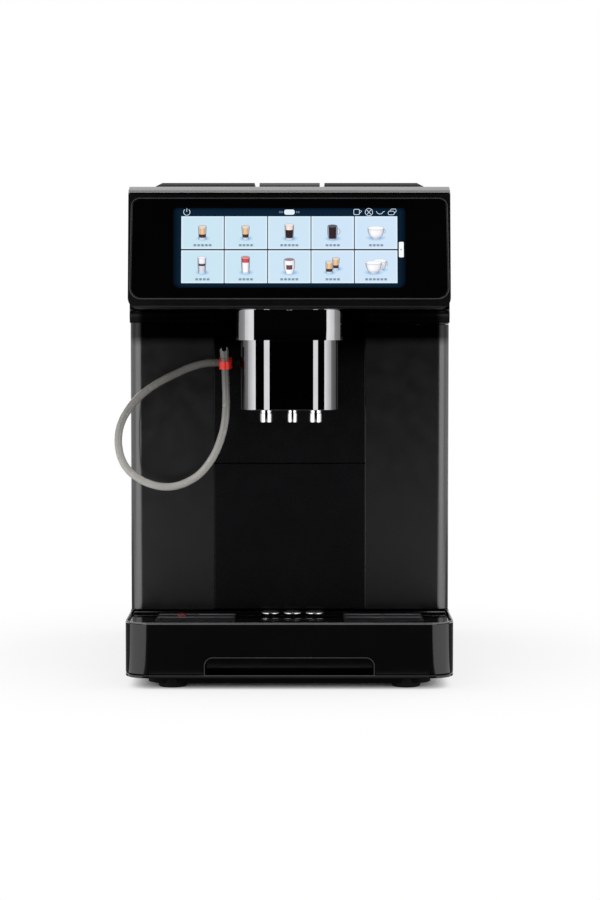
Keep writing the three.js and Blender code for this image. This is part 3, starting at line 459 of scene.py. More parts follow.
def prism(name, outline, axis, low, high):
    """An outline of (u, v) points in mm pushed along an axis.

    An outline for z is (x, y), one for y is (x, z) and one for x is (y, z).
    """
    place = {
        "z": lambda u, v, w: (u, v, w),
        "y": lambda u, v, w: (u, w, v),
        "x": lambda u, v, w: (w, u, v),
    }[axis]
    points = [Vector(place(u, v, w)) * MM for w in (low, high) for u, v in outline]
    return mesh_object(name, points, prism_faces(len(outline)))


def lathe(name, profile, place, axis="z", steps=48):
    """A profile of (radius, height) in mm turned about an axis through place (mm)."""
    points, faces = [], []
    rows = len(profile)
    for step in range(steps):
        angle = 2 * math.pi * step / steps
        for radius, height in profile:
            u, v = radius * math.cos(angle), radius * math.sin(angle)
            local = {"z": (u, v, height), "y": (u, height, v), "x": (height, u, v)}[axis]
            points.append((Vector(place) + Vector(local)) * MM)
    for step in range(steps):
        here, there = step * rows, ((step + 1) % steps) * rows
        for row in range(rows - 1):
            faces.append((here + row, there + row, there + row + 1, here + row + 1))
        if profile[0][0] > 1e-6 or profile[-1][0] > 1e-6:
            faces.append((here + rows - 1, there + rows - 1, there, here))
    piece = mesh_object(name, points, faces)
    cleaned(piece.data, FINE_WELD)
    return weighted(piece, 34.0)


def arc(centre, radius, start, end, steps=8):
    """Points along an arc between two angles in degrees."""
    angles = [math.radians(start + (end - start) * i / steps) for i in range(steps + 1)]
    return [(centre[0] + radius * math.cos(a), centre[1] + radius * math.sin(a)) for a in angles]


def rounded(u, v, radius, steps=8):
    """A rectangle outline with rounded corners.

    radius is one value or (low-left, low-right, high-right, high-left).
    """
    radii = radius if isinstance(radius, tuple) else (radius,) * 4
    corners = [(u[0], v[0], 1, 1, 180), (u[1], v[0], -1, 1, 270),
               (u[1], v[1], -1, -1, 0), (u[0], v[1], 1, -1, 90)]
    outline = []
    for (x, y, sx, sy, start), r in zip(corners, radii):
        if r:
            outline += arc((x + sx * r, y + sy * r), r, start, start + 90, steps)
        else:
            outline.append((x, y))
    return outline


# -------------------- free milk hose
# the hose's middle line from the spout's spigot down, round the loop and up into its tip, mm
HOSE_ROUTE = [
    (-74, -165, 335), (-88.5, -165.5, 334.2), (-104.2, -166, 330), (-119.8, -166.5, 323.2),
    (-135.4, -167, 315.4), (-149, -167.5, 306.6), (-160.4, -168, 296.7), (-169.8, -168.5, 285.2),
    (-176.9, -169, 271.7), (-179.9, -169.5, 258.1), (-179.4, -170, 244.5), (-175.8, -170.5, 232),
    (-168.8, -171, 221.5), (-158.3, -171.5, 213.1), (-145.8, -172, 207.4), (-132.3, -172.5, 204.7),
    (-118.8, -173, 205.8), (-105.2, -173.5, 211), (-93.8, -174, 218.9), (-84.4, -174.5, 229.9),
    (-77.1, -175, 242.4), (-71.9, -175.5, 256), (-68.2, -176, 270.6), (-66.6, -176.5, 286.3),
    (-66.4, -177, 301.9), (-66.9, -177, 317.5), (-67.3, -177, 328), (-67.8, -177, 339.6),
]
HOSE_RADIUS = 4.0


def milk_hose():
    """The round tube along the route."""
    curve = bpy.data.curves.new("milk_hose_tube", "CURVE")
    curve.dimensions = "3D"
    curve.bevel_depth = HOSE_RADIUS * MM
    curve.bevel_resolution = 6
    curve.resolution_u = 6
    curve.use_fill_caps = True
    spline = curve.splines.new("BEZIER")
    spline.bezier_points.add(len(HOSE_ROUTE) - 1)
    for point, place in zip(spline.bezier_points, HOSE_ROUTE):
        point.co = Vector(place) * MM
        point.handle_left_type = point.handle_right_type = "AUTO"
    hose = bpy.data.objects.new("milk_hose_tube", curve)
    scene.collection.objects.link(hose)
    return dress(hose, "silicone", "milk_hose")


hose = milk_hose()
# the suction tip: a short collar that widens to a V-notched mouth
tip = dress(refined("milk_hose_tip", 0.5), "silicone", "milk_hose_tip")


# -------------------- covers and inner pieces taken from the CAD
# width of the rounded edges, mm, where it is not DEFAULT_EASE or, on a holed plate, none
DEFAULT_EASE = 0.6
EASES = {
    "base_pan": 0.4, "drip_tray": 1.4, "drip_tray_cover": 0.5, "head_shell": 0.7,
    "left_side_shell": 1.2, "right_cheek": 0.8, "service_door": 1.2, "centre_panel": 0.9,
    "grounds_drawer_front": 0.9, "rear_panel": 0.5,
    "right_hopper_lid": 0.35, "left_hopper_lid": 0.35, "centre_lid": 0.8, "tank_lid": 0.8,
    "inner_frame": 0.0, "left_burr": 0.3, "right_burr": 0.3, "control_board": 0.2, "fan_rotor": 0.2,
    "door_hinge_pin": 0.3, "lid_hinge_pin": 0.3,
}
# these keep a plain chamfer, and the next ones are made again below
CHAMFERS = {"drip_tray", "base_pan"}
REMADE = {"milk_hose", "milk_hose_tip", "display_glass", "spout_slider", "spout_collar",
          "nozzle_left", "nozzle_centre", "nozzle_right",
          "drain_cap_left", "drain_cap_centre", "drain_cap_right"}
# a look of its own for a piece, where its slot's look is shared with others
LOOKS = {
    "centre_panel": "satin_centre", "grounds_drawer_front": "satin_centre",
    "drip_tray_cover": "cover_black", "tray_float": "float_red", "inner_frame": "frame_black",
    "head_shell": "head_black", "left_hopper_lid": "lid_black", "right_hopper_lid": "lid_black",
}


def dress_carried_nodes():
    """Every node that is not remade: its own shape with eased edges and its look."""
    for node in frame["nodes"]:
        if node not in REMADE:
            width = 0.0 if node in HOLED else EASES.get(node, DEFAULT_EASE)
            piece = refined(node, width, 1 if node in CHAMFERS else 3)
            dress(piece, LOOKS.get(node, node_slot[node]), node)


dress_carried_nodes()


# -------------------- display
def on_face(x, up, out):
    """A point on the head's leaning face: x and up along it, out towards the front, all mm."""
    lean, rise = math.sin(HEAD_TILT), math.cos(HEAD_TILT)
    y = HEAD_FRONT + up * lean - out * rise
    return Vector((x, y, HEAD_BOTTOM + up * rise + out * lean)) * MM


# thickness of the picture's plates, mm
PLATE = 0.04


class Picture:
    """Thin closed plates on the head's face, each painted corner by corner."""

    def __init__(self):
        self.points, self.faces, self.paints = [], [], []

    def grid(self, rows, out, thick=PLATE):
        """One plate from out to out + thick: equally long rows of ((x, up), colour)."""
        start, columns, total = len(self.points), len(rows[0]), len(rows)
        count = columns * total
        for level in (out, out + thick):
            for row in rows:
                for (x, up), color in row:
                    self.points.append(on_face(x, up, level))
                    self.paints.append(color)

        def corner(r, c, level):
            return start + level * count + r * columns + c

        for r in range(total - 1):
            for c in range(columns - 1):
                ring = [(r, c), (r, c + 1), (r + 1, c + 1), (r + 1, c)]
                self.faces.append(tuple(corner(a, b, 1) for a, b in ring))
                self.faces.append(tuple(corner(a, b, 0) for a, b in reversed(ring)))
        rim = [(0, c) for c in range(columns)] + [(r, columns - 1) for r in range(1, total)]
        rim += [(total - 1, c) for c in range(columns - 2, -1, -1)]
        rim += [(r, 0) for r in range(total - 2, 0, -1)]
        for a, b in zip(rim, rim[1:] + rim[:1]):
            self.faces.append((corner(*a, 0), corner(*b, 0), corner(*b, 1), corner(*a, 1)))

    def shape(self, outline, color, out):
        """One flat plate with an outline of (x, up) points and an even colour."""
        start, count = len(self.points), len(outline)
        for level in (out, out + PLATE):
            self.points += [on_face(x, up, level) for x, up in outline]
            self.paints += [color] * count
        low_end, *others = prism_faces(count)
        self.faces += [tuple(start + i for i in face) for face in (low_end[::-1], *others)]

    def glow(self, centre, size, inner, outer, out):
        """An ellipse plate whose colour runs from inner in the middle to outer at the rim."""
        angles = [2 * math.pi * step / 20 for step in range(21)]
        rows = []
        for scale, mix in ((0.02, 0.0), (0.45, 0.35), (0.75, 0.8), (1.0, 1.0)):
            half_x, half_up = size[0] * scale, size[1] * scale
            rows.append([((centre[0] + half_x * math.cos(a), centre[1] + half_up * math.sin(a)),
                          mixed(inner, outer, mix)) for a in angles])
        self.grid(rows, out)

    def stroke(self, path, width, color, out, closed=False):
        """A line of even width along (x, up) points."""
        count = len(path)
        sides = []
        for i in range(count):
            before = path[i - 1] if (i or closed) else path[i]
            after = path[(i + 1) % count] if (i < count - 1 or closed) else path[i]
            along = Vector((after[0] - before[0], after[1] - before[1])).normalized()
            offset = Vector((-along.y, along.x)) * width / 2
            sides.append((Vector(path[i]) + offset, Vector(path[i]) - offset))
        if closed:
            sides.append(sides[0])
        rows = [[(tuple(left), color), (tuple(right), color)] for left, right in sides]
        self.grid(rows, out)

    def finish(self, name):
        """Makes the plates one lit piece on the machine."""
        mesh = bpy.data.meshes.new(name)
        mesh.from_pydata([tuple(p) for p in self.points], [], self.faces)
        layer = mesh.color_attributes.new("paint", "FLOAT_COLOR", "POINT")
        for value, color in zip(layer.data, self.paints):
            value.color = color
        piece = bpy.data.objects.new(name, mesh)
        scene.collection.objects.link(piece)
        return trim(piece, "display", "machine")


SCREEN_HALF_W = 119.7
SCREEN_LOW, SCREEN_HIGH = 22.2, 105.5
COLUMNS, ROWS = 5, 2
CELL_W, CELL_H = 43.7, 34.0
CELL_GAP_X, CELL_GAP_UP = 0.95, 1.4
CELLS_LOW = 27.2
DRINK_UP = 10.0
LABEL_UP = 3.9
STATUS_UP = 101.0
TAB_UP = 62.0
# how far the layers of the picture stand out of the glass, mm
SCREEN_OUT, CELL_OUT, INK_OUT = 0.06, 0.12, 0.17

NAVY = rgb(8, 33, 52)
NIGHT = rgb(1, 6, 16)
CELL = rgb(206, 231, 247)
CELL_EDGE = rgb(228, 243, 253)
CELL_FIRST, CELL_LAST = rgb(203, 230, 243), rgb(210, 230, 250)
SHADOW = rgb(104, 160, 222)
INK = rgb(96, 116, 138)
WHITE = rgb(250, 252, 255)
ICON_WHITE = rgb(214, 230, 248)


def mixed(a, b, t):
    """The colour a share t of the way from a to b."""
    return tuple(x + (y - x) * t for x, y in zip(a, b))


def screen_background():
    """The lit field, which darkens towards its edge."""
    picture = Picture()
    outline = rounded((-SCREEN_HALF_W, SCREEN_HALF_W), (SCREEN_LOW, SCREEN_HIGH), (7, 7, 4, 4))
    middle = (SCREEN_LOW + SCREEN_HIGH) / 2
    rows = []
    for scale, mix in ((0.02, 0.0), (0.9, 0.0), (0.955, 0.25), (1.0, 1.0)):
        color = mixed(NAVY, NIGHT, mix)
        rows.append([((x * scale, middle + (up - middle) * scale), color)
                     for x, up in outline + outline[:1]])
    picture.grid(rows, SCREEN_OUT, 0.05)
    picture.finish("screen_background")


def cell_origin(column, row):
    """The low left corner of a menu cell; row 0 is the lower one."""
    left = (column - COLUMNS // 2) * (CELL_W + CELL_GAP_X) - CELL_W / 2
    return left, CELLS_LOW + row * (CELL_H + CELL_GAP_UP)


def menu_cells():
    """Pale cells with a lighter rim."""
    picture = Picture()
    steps_x = [0.0, 0.012, 0.05, 0.5, 0.95, 0.988, 1.0]
    steps_up = [0.0, 0.015, 0.06, 0.5, 0.94, 0.985, 1.0]
    for column in range(COLUMNS):
        for row in range(ROWS):
            left, low = cell_origin(column, row)
            rows = []
            for v in steps_up:
                line = []
                for u in steps_x:
                    edge = min(u, 1 - u, v, 1 - v)
                    rim = max(0.0, 1 - edge * 5 / 0.2)
                    tone = mixed(CELL_FIRST, CELL_LAST, (column + u) / COLUMNS)
                    place = (left + u * CELL_W, low + v * CELL_H)
                    line.append((place, mixed(tone, CELL_EDGE, rim)))
                rows.append(line)
            picture.grid(rows, CELL_OUT)
    picture.finish("menu_cells")


# shade of a round form across its half width, from its left edge to its right one
ROUND_SHADES = [(-1.0, 0.2), (-0.8, 0.84), (-0.5, 1.1), (-0.15, 1.14), (0.2, 1.04), (0.55, 0.95),
                (0.82, 0.74), (1.0, 0.16)]
BAND_STEPS = 3


def vessel(picture, x, low, widths, bands, out, bow=0.16):
    """A cup picture shaded as a round form.

    widths are (height, half width), bands are (from, to, colour) and bow is how far they sag.
    """
    heights = [h for h, _ in widths]
    halves = [w for _, w in widths]
    for start, end, color in bands:
        rows = []
        for i in range(BAND_STEPS + 1):
            height = start + (end - start) * i / BAND_STEPS
            half = float(np.interp(height, heights, halves))
            row = []
            for u, shade in ROUND_SHADES:
                sag = bow * half * math.sqrt(max(0.0, 1 - u * u))
                tint = tuple(min(1.0, c * shade) for c in color[:3]) + (1.0,)
                row.append(((x + u * half, low + height - sag), tint))
            rows.append(row)
        picture.grid(rows, out)


def ellipse(x, up, half, squash=0.3, steps=18):
    return [(x + half * math.cos(a), up + half * squash * math.sin(a))
            for a in (2 * math.pi * i / steps for i in range(steps))]


GLASS_TINT = rgb(196, 214, 228)
CREMA = rgb(240, 190, 134)
FOAM = rgb(250, 232, 222)
COFFEE = rgb(74, 52, 48)
DEEP = rgb(52, 38, 40)
MILK = rgb(250, 248, 250)
BERRY = rgb(206, 84, 84)
CHINA = rgb(244, 244, 250)


def espresso_glass(picture, x, low, half=4.3, tall=13.5, conical=False):
    """A small glass of coffee under a deep crema."""
    foot = half * (0.7 if conical else 0.9)
    coffee_top, crema_top = tall * 0.42, tall * 0.86
    inner = [(0, foot * 0.86), (tall, half * 0.86)]
    core = [(0, foot * 0.6), (tall, half * 0.68)]
    picture.glow((x + 0.6, low + 1.0), (half * 1.9, 3.2), SHADOW, CELL, INK_OUT)
    vessel(picture, x, low, [(0, foot), (tall, half)], [(0, tall, GLASS_TINT)], 0.20)
    vessel(picture, x, low, inner, [(coffee_top, crema_top, WHITE)], 0.23)
    vessel(picture, x, low, inner, [(tall * 0.16, coffee_top, COFFEE)], 0.25)
    vessel(picture, x, low, core, [(coffee_top, crema_top, CREMA)], 0.25)
    picture.shape(ellipse(x, low + tall, half), mixed(GLASS_TINT, INK, 0.6), 0.30)
    picture.shape(ellipse(x, low + tall - 0.2, half * 0.86), mixed(CREMA, FOAM, 0.5), 0.34)


def tall_glass(picture, x, low, body, top, half=4.6, tall=16.0, band=None):
    """A tall glass of milk coffee: body, top and perhaps a darker band between."""
    widths = [(0, half * 0.82), (2.5, half * 0.92), (tall, half)]
    inner = [(0, half * 0.7), (tall, half * 0.84)]
    fills = [(1.8, tall * 0.68, body), (tall * 0.68, tall * 0.94, top)]
    picture.glow((x + 0.6, low + 1.0), (half * 1.9, 3.4), SHADOW, CELL, INK_OUT)
    vessel(picture, x, low, widths, [(0, tall, GLASS_TINT)], 0.20)
    vessel(picture, x, low, inner, fills, 0.25)
    if band:
        vessel(picture, x, low, inner, [(tall * 0.5, tall * 0.62, band)], 0.30)
    picture.shape(ellipse(x, low + tall, half), mixed(GLASS_TINT, INK, 0.5), 0.35)
    picture.shape(ellipse(x, low + tall - 0.1, half * 0.88), mixed(top, WHITE, 0.2), 0.39)


def handle(picture, x, up, radius, color, out=0.2):
    """A cup's ear, open to the left."""
    path = [(x + radius * 0.8 * math.sin(a), up + radius * math.cos(a))
            for a in (math.pi * i / 10 for i in range(11))]
    picture.stroke(path, 0.7, color, out)


def mug(picture, x, low, body, band, half=5.4, tall=14.0, curve=0.8, fill=0.5, span=(0.3, 0.62)):
    """A mug with a handle; band is the drink that shows over a span of its height."""
    widths = [(0, half * curve * 0.7), (2.2, half * curve), (tall * 0.6, half), (tall, half * 0.97)]
    inner = [(0, half * fill), (tall, half * fill * 1.1)]
    picture.glow((x + 0.6, low + 1.0), (half * 1.8, 3.6), SHADOW, CELL, INK_OUT)
    vessel(picture, x, low, widths, [(0, tall, body)], 0.20)
    vessel(picture, x, low, inner, [(tall * span[0], tall * span[1], band)], 0.25)
    picture.shape(ellipse(x, low + tall, half * 0.97), mixed(body, INK, 0.5), 0.30)
    picture.shape(ellipse(x, low + tall - 0.1, half * 0.86), mixed(band, body, 0.2), 0.34)
    handle(picture, x + half + 0.2, low + tall * 0.58, 3.0, mixed(body, INK, 0.25))


def wide_cup(picture, x, low, half=7.6, tall=11.0, out=0.2):
    """A wide china cup with a handle."""
    widths = [(0, half * 0.34), (1.2, half * 0.5), (tall * 0.35, half * 0.8),
              (tall * 0.7, half * 0.97), (tall, half)]
    bands = [(0, tall * 0.3, mixed(CHINA, INK, 0.4)),
             (tall * 0.3, tall * 0.5, mixed(CHINA, INK, 0.12)), (tall * 0.5, tall, CHINA)]
    picture.glow((x, low + 1.0), (half * 1.35, 3.4), SHADOW, CELL, out - 0.03)
    vessel(picture, x, low, widths, bands, out, 0.2)
    picture.shape(ellipse(x, low + tall, half, 0.26), mixed(CHINA, INK, 0.55), out + 0.05)
    picture.shape(ellipse(x, low + tall + 0.1, half * 0.92, 0.24), WHITE, out + 0.10)
    handle(picture, x + half * 0.94, low + tall * 0.72, 2.1, mixed(CHINA, INK, 0.6), out)


def menu_drinks():
    """A drink in each cell, two in the last two of the lower row."""
    picture = Picture()

    def centre(column):
        return cell_origin(column, 0)[0] + CELL_W / 2

    upper, lower = cell_origin(0, 1)[1] + DRINK_UP, cell_origin(0, 0)[1] + DRINK_UP
    espresso_glass(picture, centre(0) - 0.2, upper)
    espresso_glass(picture, centre(1) - 0.4, upper, conical=True)
    tall_glass(picture, centre(2), upper, DEEP, mixed(FOAM, BERRY, 0.08), 4.9, 15.0)
    mug(picture, centre(3) - 0.2, upper, rgb(176, 182, 194), DEEP, 5.3, 14.0, 0.95, 0.66,
        (0.08, 0.95))
    wide_cup(picture, centre(4) - 0.2, upper + 0.6, 8.6)
    tall_glass(picture, centre(0) - 0.6, lower, rgb(214, 214, 226), rgb(246, 238, 250), 4.5, 16.5,
               DEEP)
    tall_glass(picture, centre(1) - 0.4, lower, MILK, BERRY, 4.6, 17.0)
    mug(picture, centre(2), lower, CHINA, rgb(110, 76, 82), 5.9, 14.5, 0.86)
    espresso_glass(picture, centre(3) + 3.2, lower + 3.8, 4.0, 12.0, True)
    espresso_glass(picture, centre(3) - 3.6, lower + 0.2, 3.9, 12.0)
    wide_cup(picture, centre(4) + 3.4, lower + 3.0, 7.4, 10.0)
    wide_cup(picture, centre(4) - 2.6, lower, 8.4, 11.0, 0.36)
    picture.finish("menu_drinks")


def menu_labels():
    """Rows of short bars stand where each drink's name would be."""
    picture = Picture()
    counts = [[5, 4, 5, 4, 4], [4, 4, 5, 4, 6]]
    width, pitch, height, half_bar = 3.1, 3.9, 2.3, 0.25
    for row in range(ROWS):
        for column in range(COLUMNS):
            left, low = cell_origin(column, 1 - row)
            up = low + LABEL_UP
            total = counts[row][column]
            first = left + CELL_W / 2 - (total - 1) * pitch / 2
            for i in range(total):
                x = first + i * pitch
                sides = (x - width / 2, x + width / 2)
                for level in (-0.75, 0.0, 0.75):
                    bar = rounded(sides, (up + level - half_bar, up + level + half_bar), 0.1, 2)
                    picture.shape(bar, INK, INK_OUT)
                ends = (up - height / 2, up + height / 2)
                stem = rounded((x - half_bar, x + half_bar), ends, 0.1, 2)
                picture.shape(stem, INK, INK_OUT)
    picture.finish("menu_labels")


def status_icons():
    """The row of small signs over the menu, and the tab at its right."""
    picture = Picture()

    def level(points):
        return [(x, STATUS_UP + up) for x, up in points]

    def sign(points, closed=False, out=CELL_OUT):
        picture.stroke(level(points), 0.58, ICON_WHITE, out, closed)

    power_x, power_radius = -105.6, 3.3
    sign([(power_x + power_radius * math.sin(a), power_radius * math.cos(a))
          for a in (math.radians(36 + 16 * i) for i in range(19))])
    sign([(power_x, 0.2), (power_x, 3.8)])
    pill = level(rounded((-5.3, 5.5), (-2.7, 2.7), 2.2, 5))
    picture.shape(pill, rgb(232, 240, 250), CELL_OUT)
    for x in (-7.6, -9.7, 7.6, 9.7):
        dot = level(rounded((x - 0.8, x + 0.8), (-1.1, 1.1), 0.4, 3))
        picture.shape(dot, INK, CELL_OUT)
    sign(rounded((66.4, 72.2), (-2.6, 2.9), 1.0, 4), True)
    sign([(72.4, 2.0), (74.6, 1.0), (72.4, -1.2)])
    sign(ellipse(82.0, 0.0, 3.8, 1.0, 24), True)
    sign([(79.9, 2.2), (84.1, -2.4)])
    sign([(84.1, 2.2), (79.9, -2.4)], out=CELL_OUT + 0.05)
    sign([(89.6, 0.8), (91.2, -1.4), (93.2, -2.1), (95.2, -1.6), (96.6, 0.2), (98.2, 0.8)])
    sign(rounded((101.8, 108.2), (-2.8, 1.0), 1.6, 4), True)
    sign([(103.6, 1.6), (105.2, 3.2), (109.6, 3.2), (110.2, 1.2), (108.8, -0.8)])
    tab = rounded((112.7, 117.7), (TAB_UP - 8.0, TAB_UP + 8.0), 1.0, 4)
    picture.shape(tab, WHITE, CELL_OUT)
    arrow = [(114.5, TAB_UP - 1.1), (116.0, TAB_UP), (114.5, TAB_UP + 1.1)]
    picture.shape(arrow, INK, CELL_OUT + 0.06)
    picture.finish("status_icons")


def glass_outline(grown, radii):
    """The glass's outline grown by some mm: a rounded rectangle a little wider at its foot."""
    half = GLASS_W / 2 + grown
    loop = rounded((-half, half), (GLASS_LOW - grown, GLASS_HIGH + grown), radii, 12)
    spread = GLASS_FLARE / (GLASS_HIGH - GLASS_LOW)
    return [(x * (1 + (GLASS_HIGH - up) * spread), up) for x, up in loop]


def glass_sheet():
    """The display's one dark sheet, let into the head's face."""
    outline = glass_outline(0.0, GLASS_RADII)
    points = [on_face(x, up, out) for out in (-2.0, 0.0) for x, up in outline]
    glass = mesh_object("glass_sheet", points, prism_faces(len(outline)))
    dress(eased(glass, 0.9, 4), "glass_black", "display_glass")


def glass_highlight_bead():
    """The grey bead that frames the glass in the shell: a painted highlight along the glass's edge.
    """
    inner, outer = glass_outline(0.1, GLASS_RADII), glass_outline(1.0, (12, 12, 9, 9))
    count = len(inner)
    points = [on_face(x, up, 0.1) for x, up in inner + outer]
    bead = mesh_object("glass_highlight_bead", points, [side_ring(i, count) for i in range(count)])
    thick = bead.modifiers.new("thick", "SOLIDIFY")
    thick.thickness = 0.5 * MM
    thick.offset = 0.0
    # painted highlight: the grey bead stands for the light along the glass's edge
    trim(settle(bead), "bead_highlight_grey", "machine")


def recess_highlight_lip():
    """The fine bead around the finger recess in the drip tray's front, open at its foot: painted
    highlight.
    """
    half, foot, top, corner, thick = 87.9, 14.0, 33.9, 9, 1.0
    outer = rounded((-half, half), (foot, top), (0, 0, corner, corner), 8)
    half, top, corner = half - thick, top - thick, corner - 1
    inner = rounded((-half, half), (foot, top), (0, 0, corner, corner), 8)
    band = outer[1:] + outer[:1] + inner[:1] + inner[:0:-1]
    lip = prism("recess_highlight_lip", band, "y", TRAY_FRONT + 0.1, TRAY_FRONT + 2.0)
    # painted highlight: the grey bead stands for the light the recess's edge catches
    trim(lip, "bead_highlight_grey", node_body["drip_tray"])


def painted_shadow_plate():
    """A dark plate under the base pan, down between the feet: a painted shadow under the machine.
    """
    low, high = (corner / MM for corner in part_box("base_pan"))
    half, front_gap, back_gap, foot = 147, 17, 24, 4.4
    plan = rounded((-half, half), (low.y + front_gap, high.y - back_gap), 20, 6)
    # painted shadow: a dark sheet where the floor under the base is only in shade
    shadow_plate = prism("painted_shadow_plate", plan, "z", foot, low.z + 0.3)
    trim(shadow_plate, "frame_black", node_body["base_pan"])


def tray_rim_highlight():
    """The fine light bead that runs along the drip tray's top edge, open at the back: painted
    highlight.
    """
    paths = []
    for inset in (0.5, 1.9):
        half, radius = TRAY_HALF - inset, TRAY_CORNER - inset
        loop = rounded((-half, half), (TRAY_FRONT + inset, TRAY_BACK), (radius, radius, 0, 0), 12)
        paths.append(loop[-1:] + loop[:-1])
    low, high = 68.2, 69.6
    # painted highlight: the light grey bead stands for the light the rounded edge catches
    rim = prism("tray_rim_highlight", paths[0] + paths[1][::-1], "z", low, high)
    trim(rim, "rim_highlight_grey", node_body["drip_tray"])


def grille_rails():
    """Two polished cross rails on each drip grille: one at its back edge, one half way."""
    end_gap, sunk, proud = 1.5, 0.4, 0.3
    for side in ("left", "right"):
        node = "drip_grille_" + side
        low, high = (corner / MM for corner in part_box(node))
        for number, (share, width) in enumerate(((0.06, 2.4), (0.5, 3.0))):
            middle = high.y + (low.y - high.y) * share
            sides = (low.x + end_gap, high.x - end_gap)
            plan = rounded(sides, (middle - width / 2, middle + width / 2), 0.6, 3)
            rail = prism(f"grille_rail_{side}_{number}", plan, "z", high.z - sunk, high.z + proud)
            trim(rail, "rail_metal", node_body[node])


def crown_ridge():
    """The low ridge along the crown, just ahead of the lids."""
    profile = [(-214, 511.5), (-213, 512.9), (-199, 517.3), (-196.5, 517.6), (-195.2, 516.9),
               (-195.2, 515.4)]
    half = 165.2
    ridge = prism("crown_ridge", profile, "x", -half, half)
    trim(eased(ridge, 0.3, 2), "head_black", "machine")


screen_background()
menu_cells()
menu_drinks()
menu_labels()
status_icons()
glass_sheet()
glass_highlight_bead()
recess_highlight_lip()
painted_shadow_plate()
tray_rim_highlight()
grille_rails()
crown_ridge()


# -------------------- spout
def slider_plan():
    """The slider in plan: flat middle, two facets, flats set back and round corners."""
    front, setback, corner = SPOUT_FRONT, 2.1, 20.0
    bend = SPOUT_HALF - corner
    right = [(0, front), (24.8, front), (29.6, front + setback), (bend, front + setback)]
    right += arc((bend, front + setback + corner), corner, -86, 0, 18)
    right += [(SPOUT_HALF, -141.0), (SPOUT_HALF - 2.0, -138.8)]
    left = [(20.7, front), (26.4, front + setback)] + right[3:]
    return right + [(-x, y) for x, y in reversed(left)]


def collar_plan():
    """The collar in plan: a straight front with round corners, back to the body."""
    bend = COLLAR_HALF - COLLAR_CORNER
    half = arc((bend, COLLAR_FRONT + COLLAR_CORNER), COLLAR_CORNER, -90, 0, 20)
    half += [(COLLAR_HALF, BODY_FRONT - 0.4)]
    return [(0, COLLAR_FRONT)] + half + [(-x, y) for x, y in reversed(half)]


def spout_pieces():
    """The mirror-black slider and its collar, and the spigot the hose is pushed on."""
    low, high = (corner.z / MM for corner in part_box("spout_slider"))
    slider = prism("slider_cover", slider_plan(), "z", low, high)
    dress(eased(slider, 0.8, 9, 40.0, 12.0), "mirror_black", "spout_slider")
    profile = [(0.0, -60.0), (3.9, -60.0), (4.2, -59.6), (4.2, -50.5), (0.0, -50.5)]
    spigot = lathe("hose_spigot", profile, (0, *HOSE_ROUTE[0][1:]), "x", 32)
    trim(spigot, "frame_black", "spout")
    low, high = (corner.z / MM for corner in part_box("spout_collar"))
    collar = prism("collar_cover", collar_plan(), "z", low, high)
    sides = rounded((-COLLAR_HALF, COLLAR_HALF), (low - 5, high), (0, 0, 9, 9), 10)
    shoulders = prism("collar_shoulders", sides, "y", COLLAR_FRONT - 5, BODY_FRONT + 6)
    cut = collar.modifiers.new("shoulders", "BOOLEAN")
    cut.operation = "INTERSECT"
    cut.object = shoulders
    settle(collar)
    bpy.data.objects.remove(shoulders)
    dress(eased(collar, 0.8, 6, 40.0, 20.0), "mirror_collar", "spout_collar")


def nozzles():
    """Chrome drip tubes with a shoulder ring under the slider."""
    for side, x, radius in (("left", -24.5, 6.75), ("centre", 3.0, 5.5), ("right", 27.3, 6.75)):
        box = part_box("nozzle_" + side)
        low, high = box[0].z / MM + 2.0, box[1].z / MM
        bore = radius * 0.55
        profile = [(bore, low), (radius - 1.2, low), (radius - 0.35, low + 0.35),
                   (radius, low + 1.2), (radius, high - 3.4), (radius - 0.5, high - 3.0),
                   (radius - 0.5, high), (bore, high)]
        dress(lathe("tube_" + side, profile, (x, NOZZLE_Y, 0)), "chrome", "nozzle_" + side)


def drain_caps():
    """Domed chrome caps, each on a short dark stem."""
    stem = [(0.0, 0.0), (5.6, 0.0), (5.6, 2.0), (0.0, 2.0)]
    dome = [(0.0, 1.8), (9.2, 1.9), (9.8, 2.3), (9.7, 3.0), (8.9, 3.8), (7.2, 4.5), (5.0, 4.9),
            (2.5, 5.1), (0.0, 5.15)]
    for side, x in (("left", -20.5), ("centre", 3.0), ("right", 26.5)):
        node = "drain_cap_" + side
        place = (x, DRAIN_CAP_Y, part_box(node)[0].z / MM)
        foot = lathe("cap_stem_" + side, stem, place)
        trim(foot, "frame_black", node_body[node])
        dress(lathe("cap_" + side, dome, place), "cap_chrome", node)


nozzles()
drain_caps()
spout_pieces()


# -------------------- studio
def area_light(name, place, target, size, strength):
    """A soft box of a given radiance, aimed at a target."""
    data = bpy.data.lights.new(name, "AREA")
    data.shape = "RECTANGLE"
    data.size, data.size_y = size
    data.energy = strength * math.pi * size[0] * size[1]
    lamp = bpy.data.objects.new(name, data)
    lamp.location = place
    aim = (Vector(target) - Vector(place)).to_track_quat("-Z", "Y")
    lamp.rotation_euler = aim.to_euler()
    lamp.visible_camera = False
    scene.collection.objects.link(lamp)
    return lamp


def side_panel(name, azimuth, half_angle, radiance):
    """A tall soft wall at an azimuth from the front, wide enough for the half angle each way."""
    reach, height = 1.7, 1.25
    angle = math.radians(azimuth)
    place = (reach * math.sin(angle), -reach * math.cos(angle), height / 2)
    size = (2 * reach * math.tan(math.radians(half_angle)), height)
    area_light(name, place, (0.0, 0.0, height / 2), size, radiance)


# first and last azimuth (degrees) and radiance of the soft walls, left and right
WALLS = {
    "key": ((21, 66, 1.9), (27, 68, 1.9)),
    "wing": ((66, 121, 1.0), (68, 121, 1.0)),
    "rear": ((127, 161, 1.0), (127, 161, 1.0)),
}


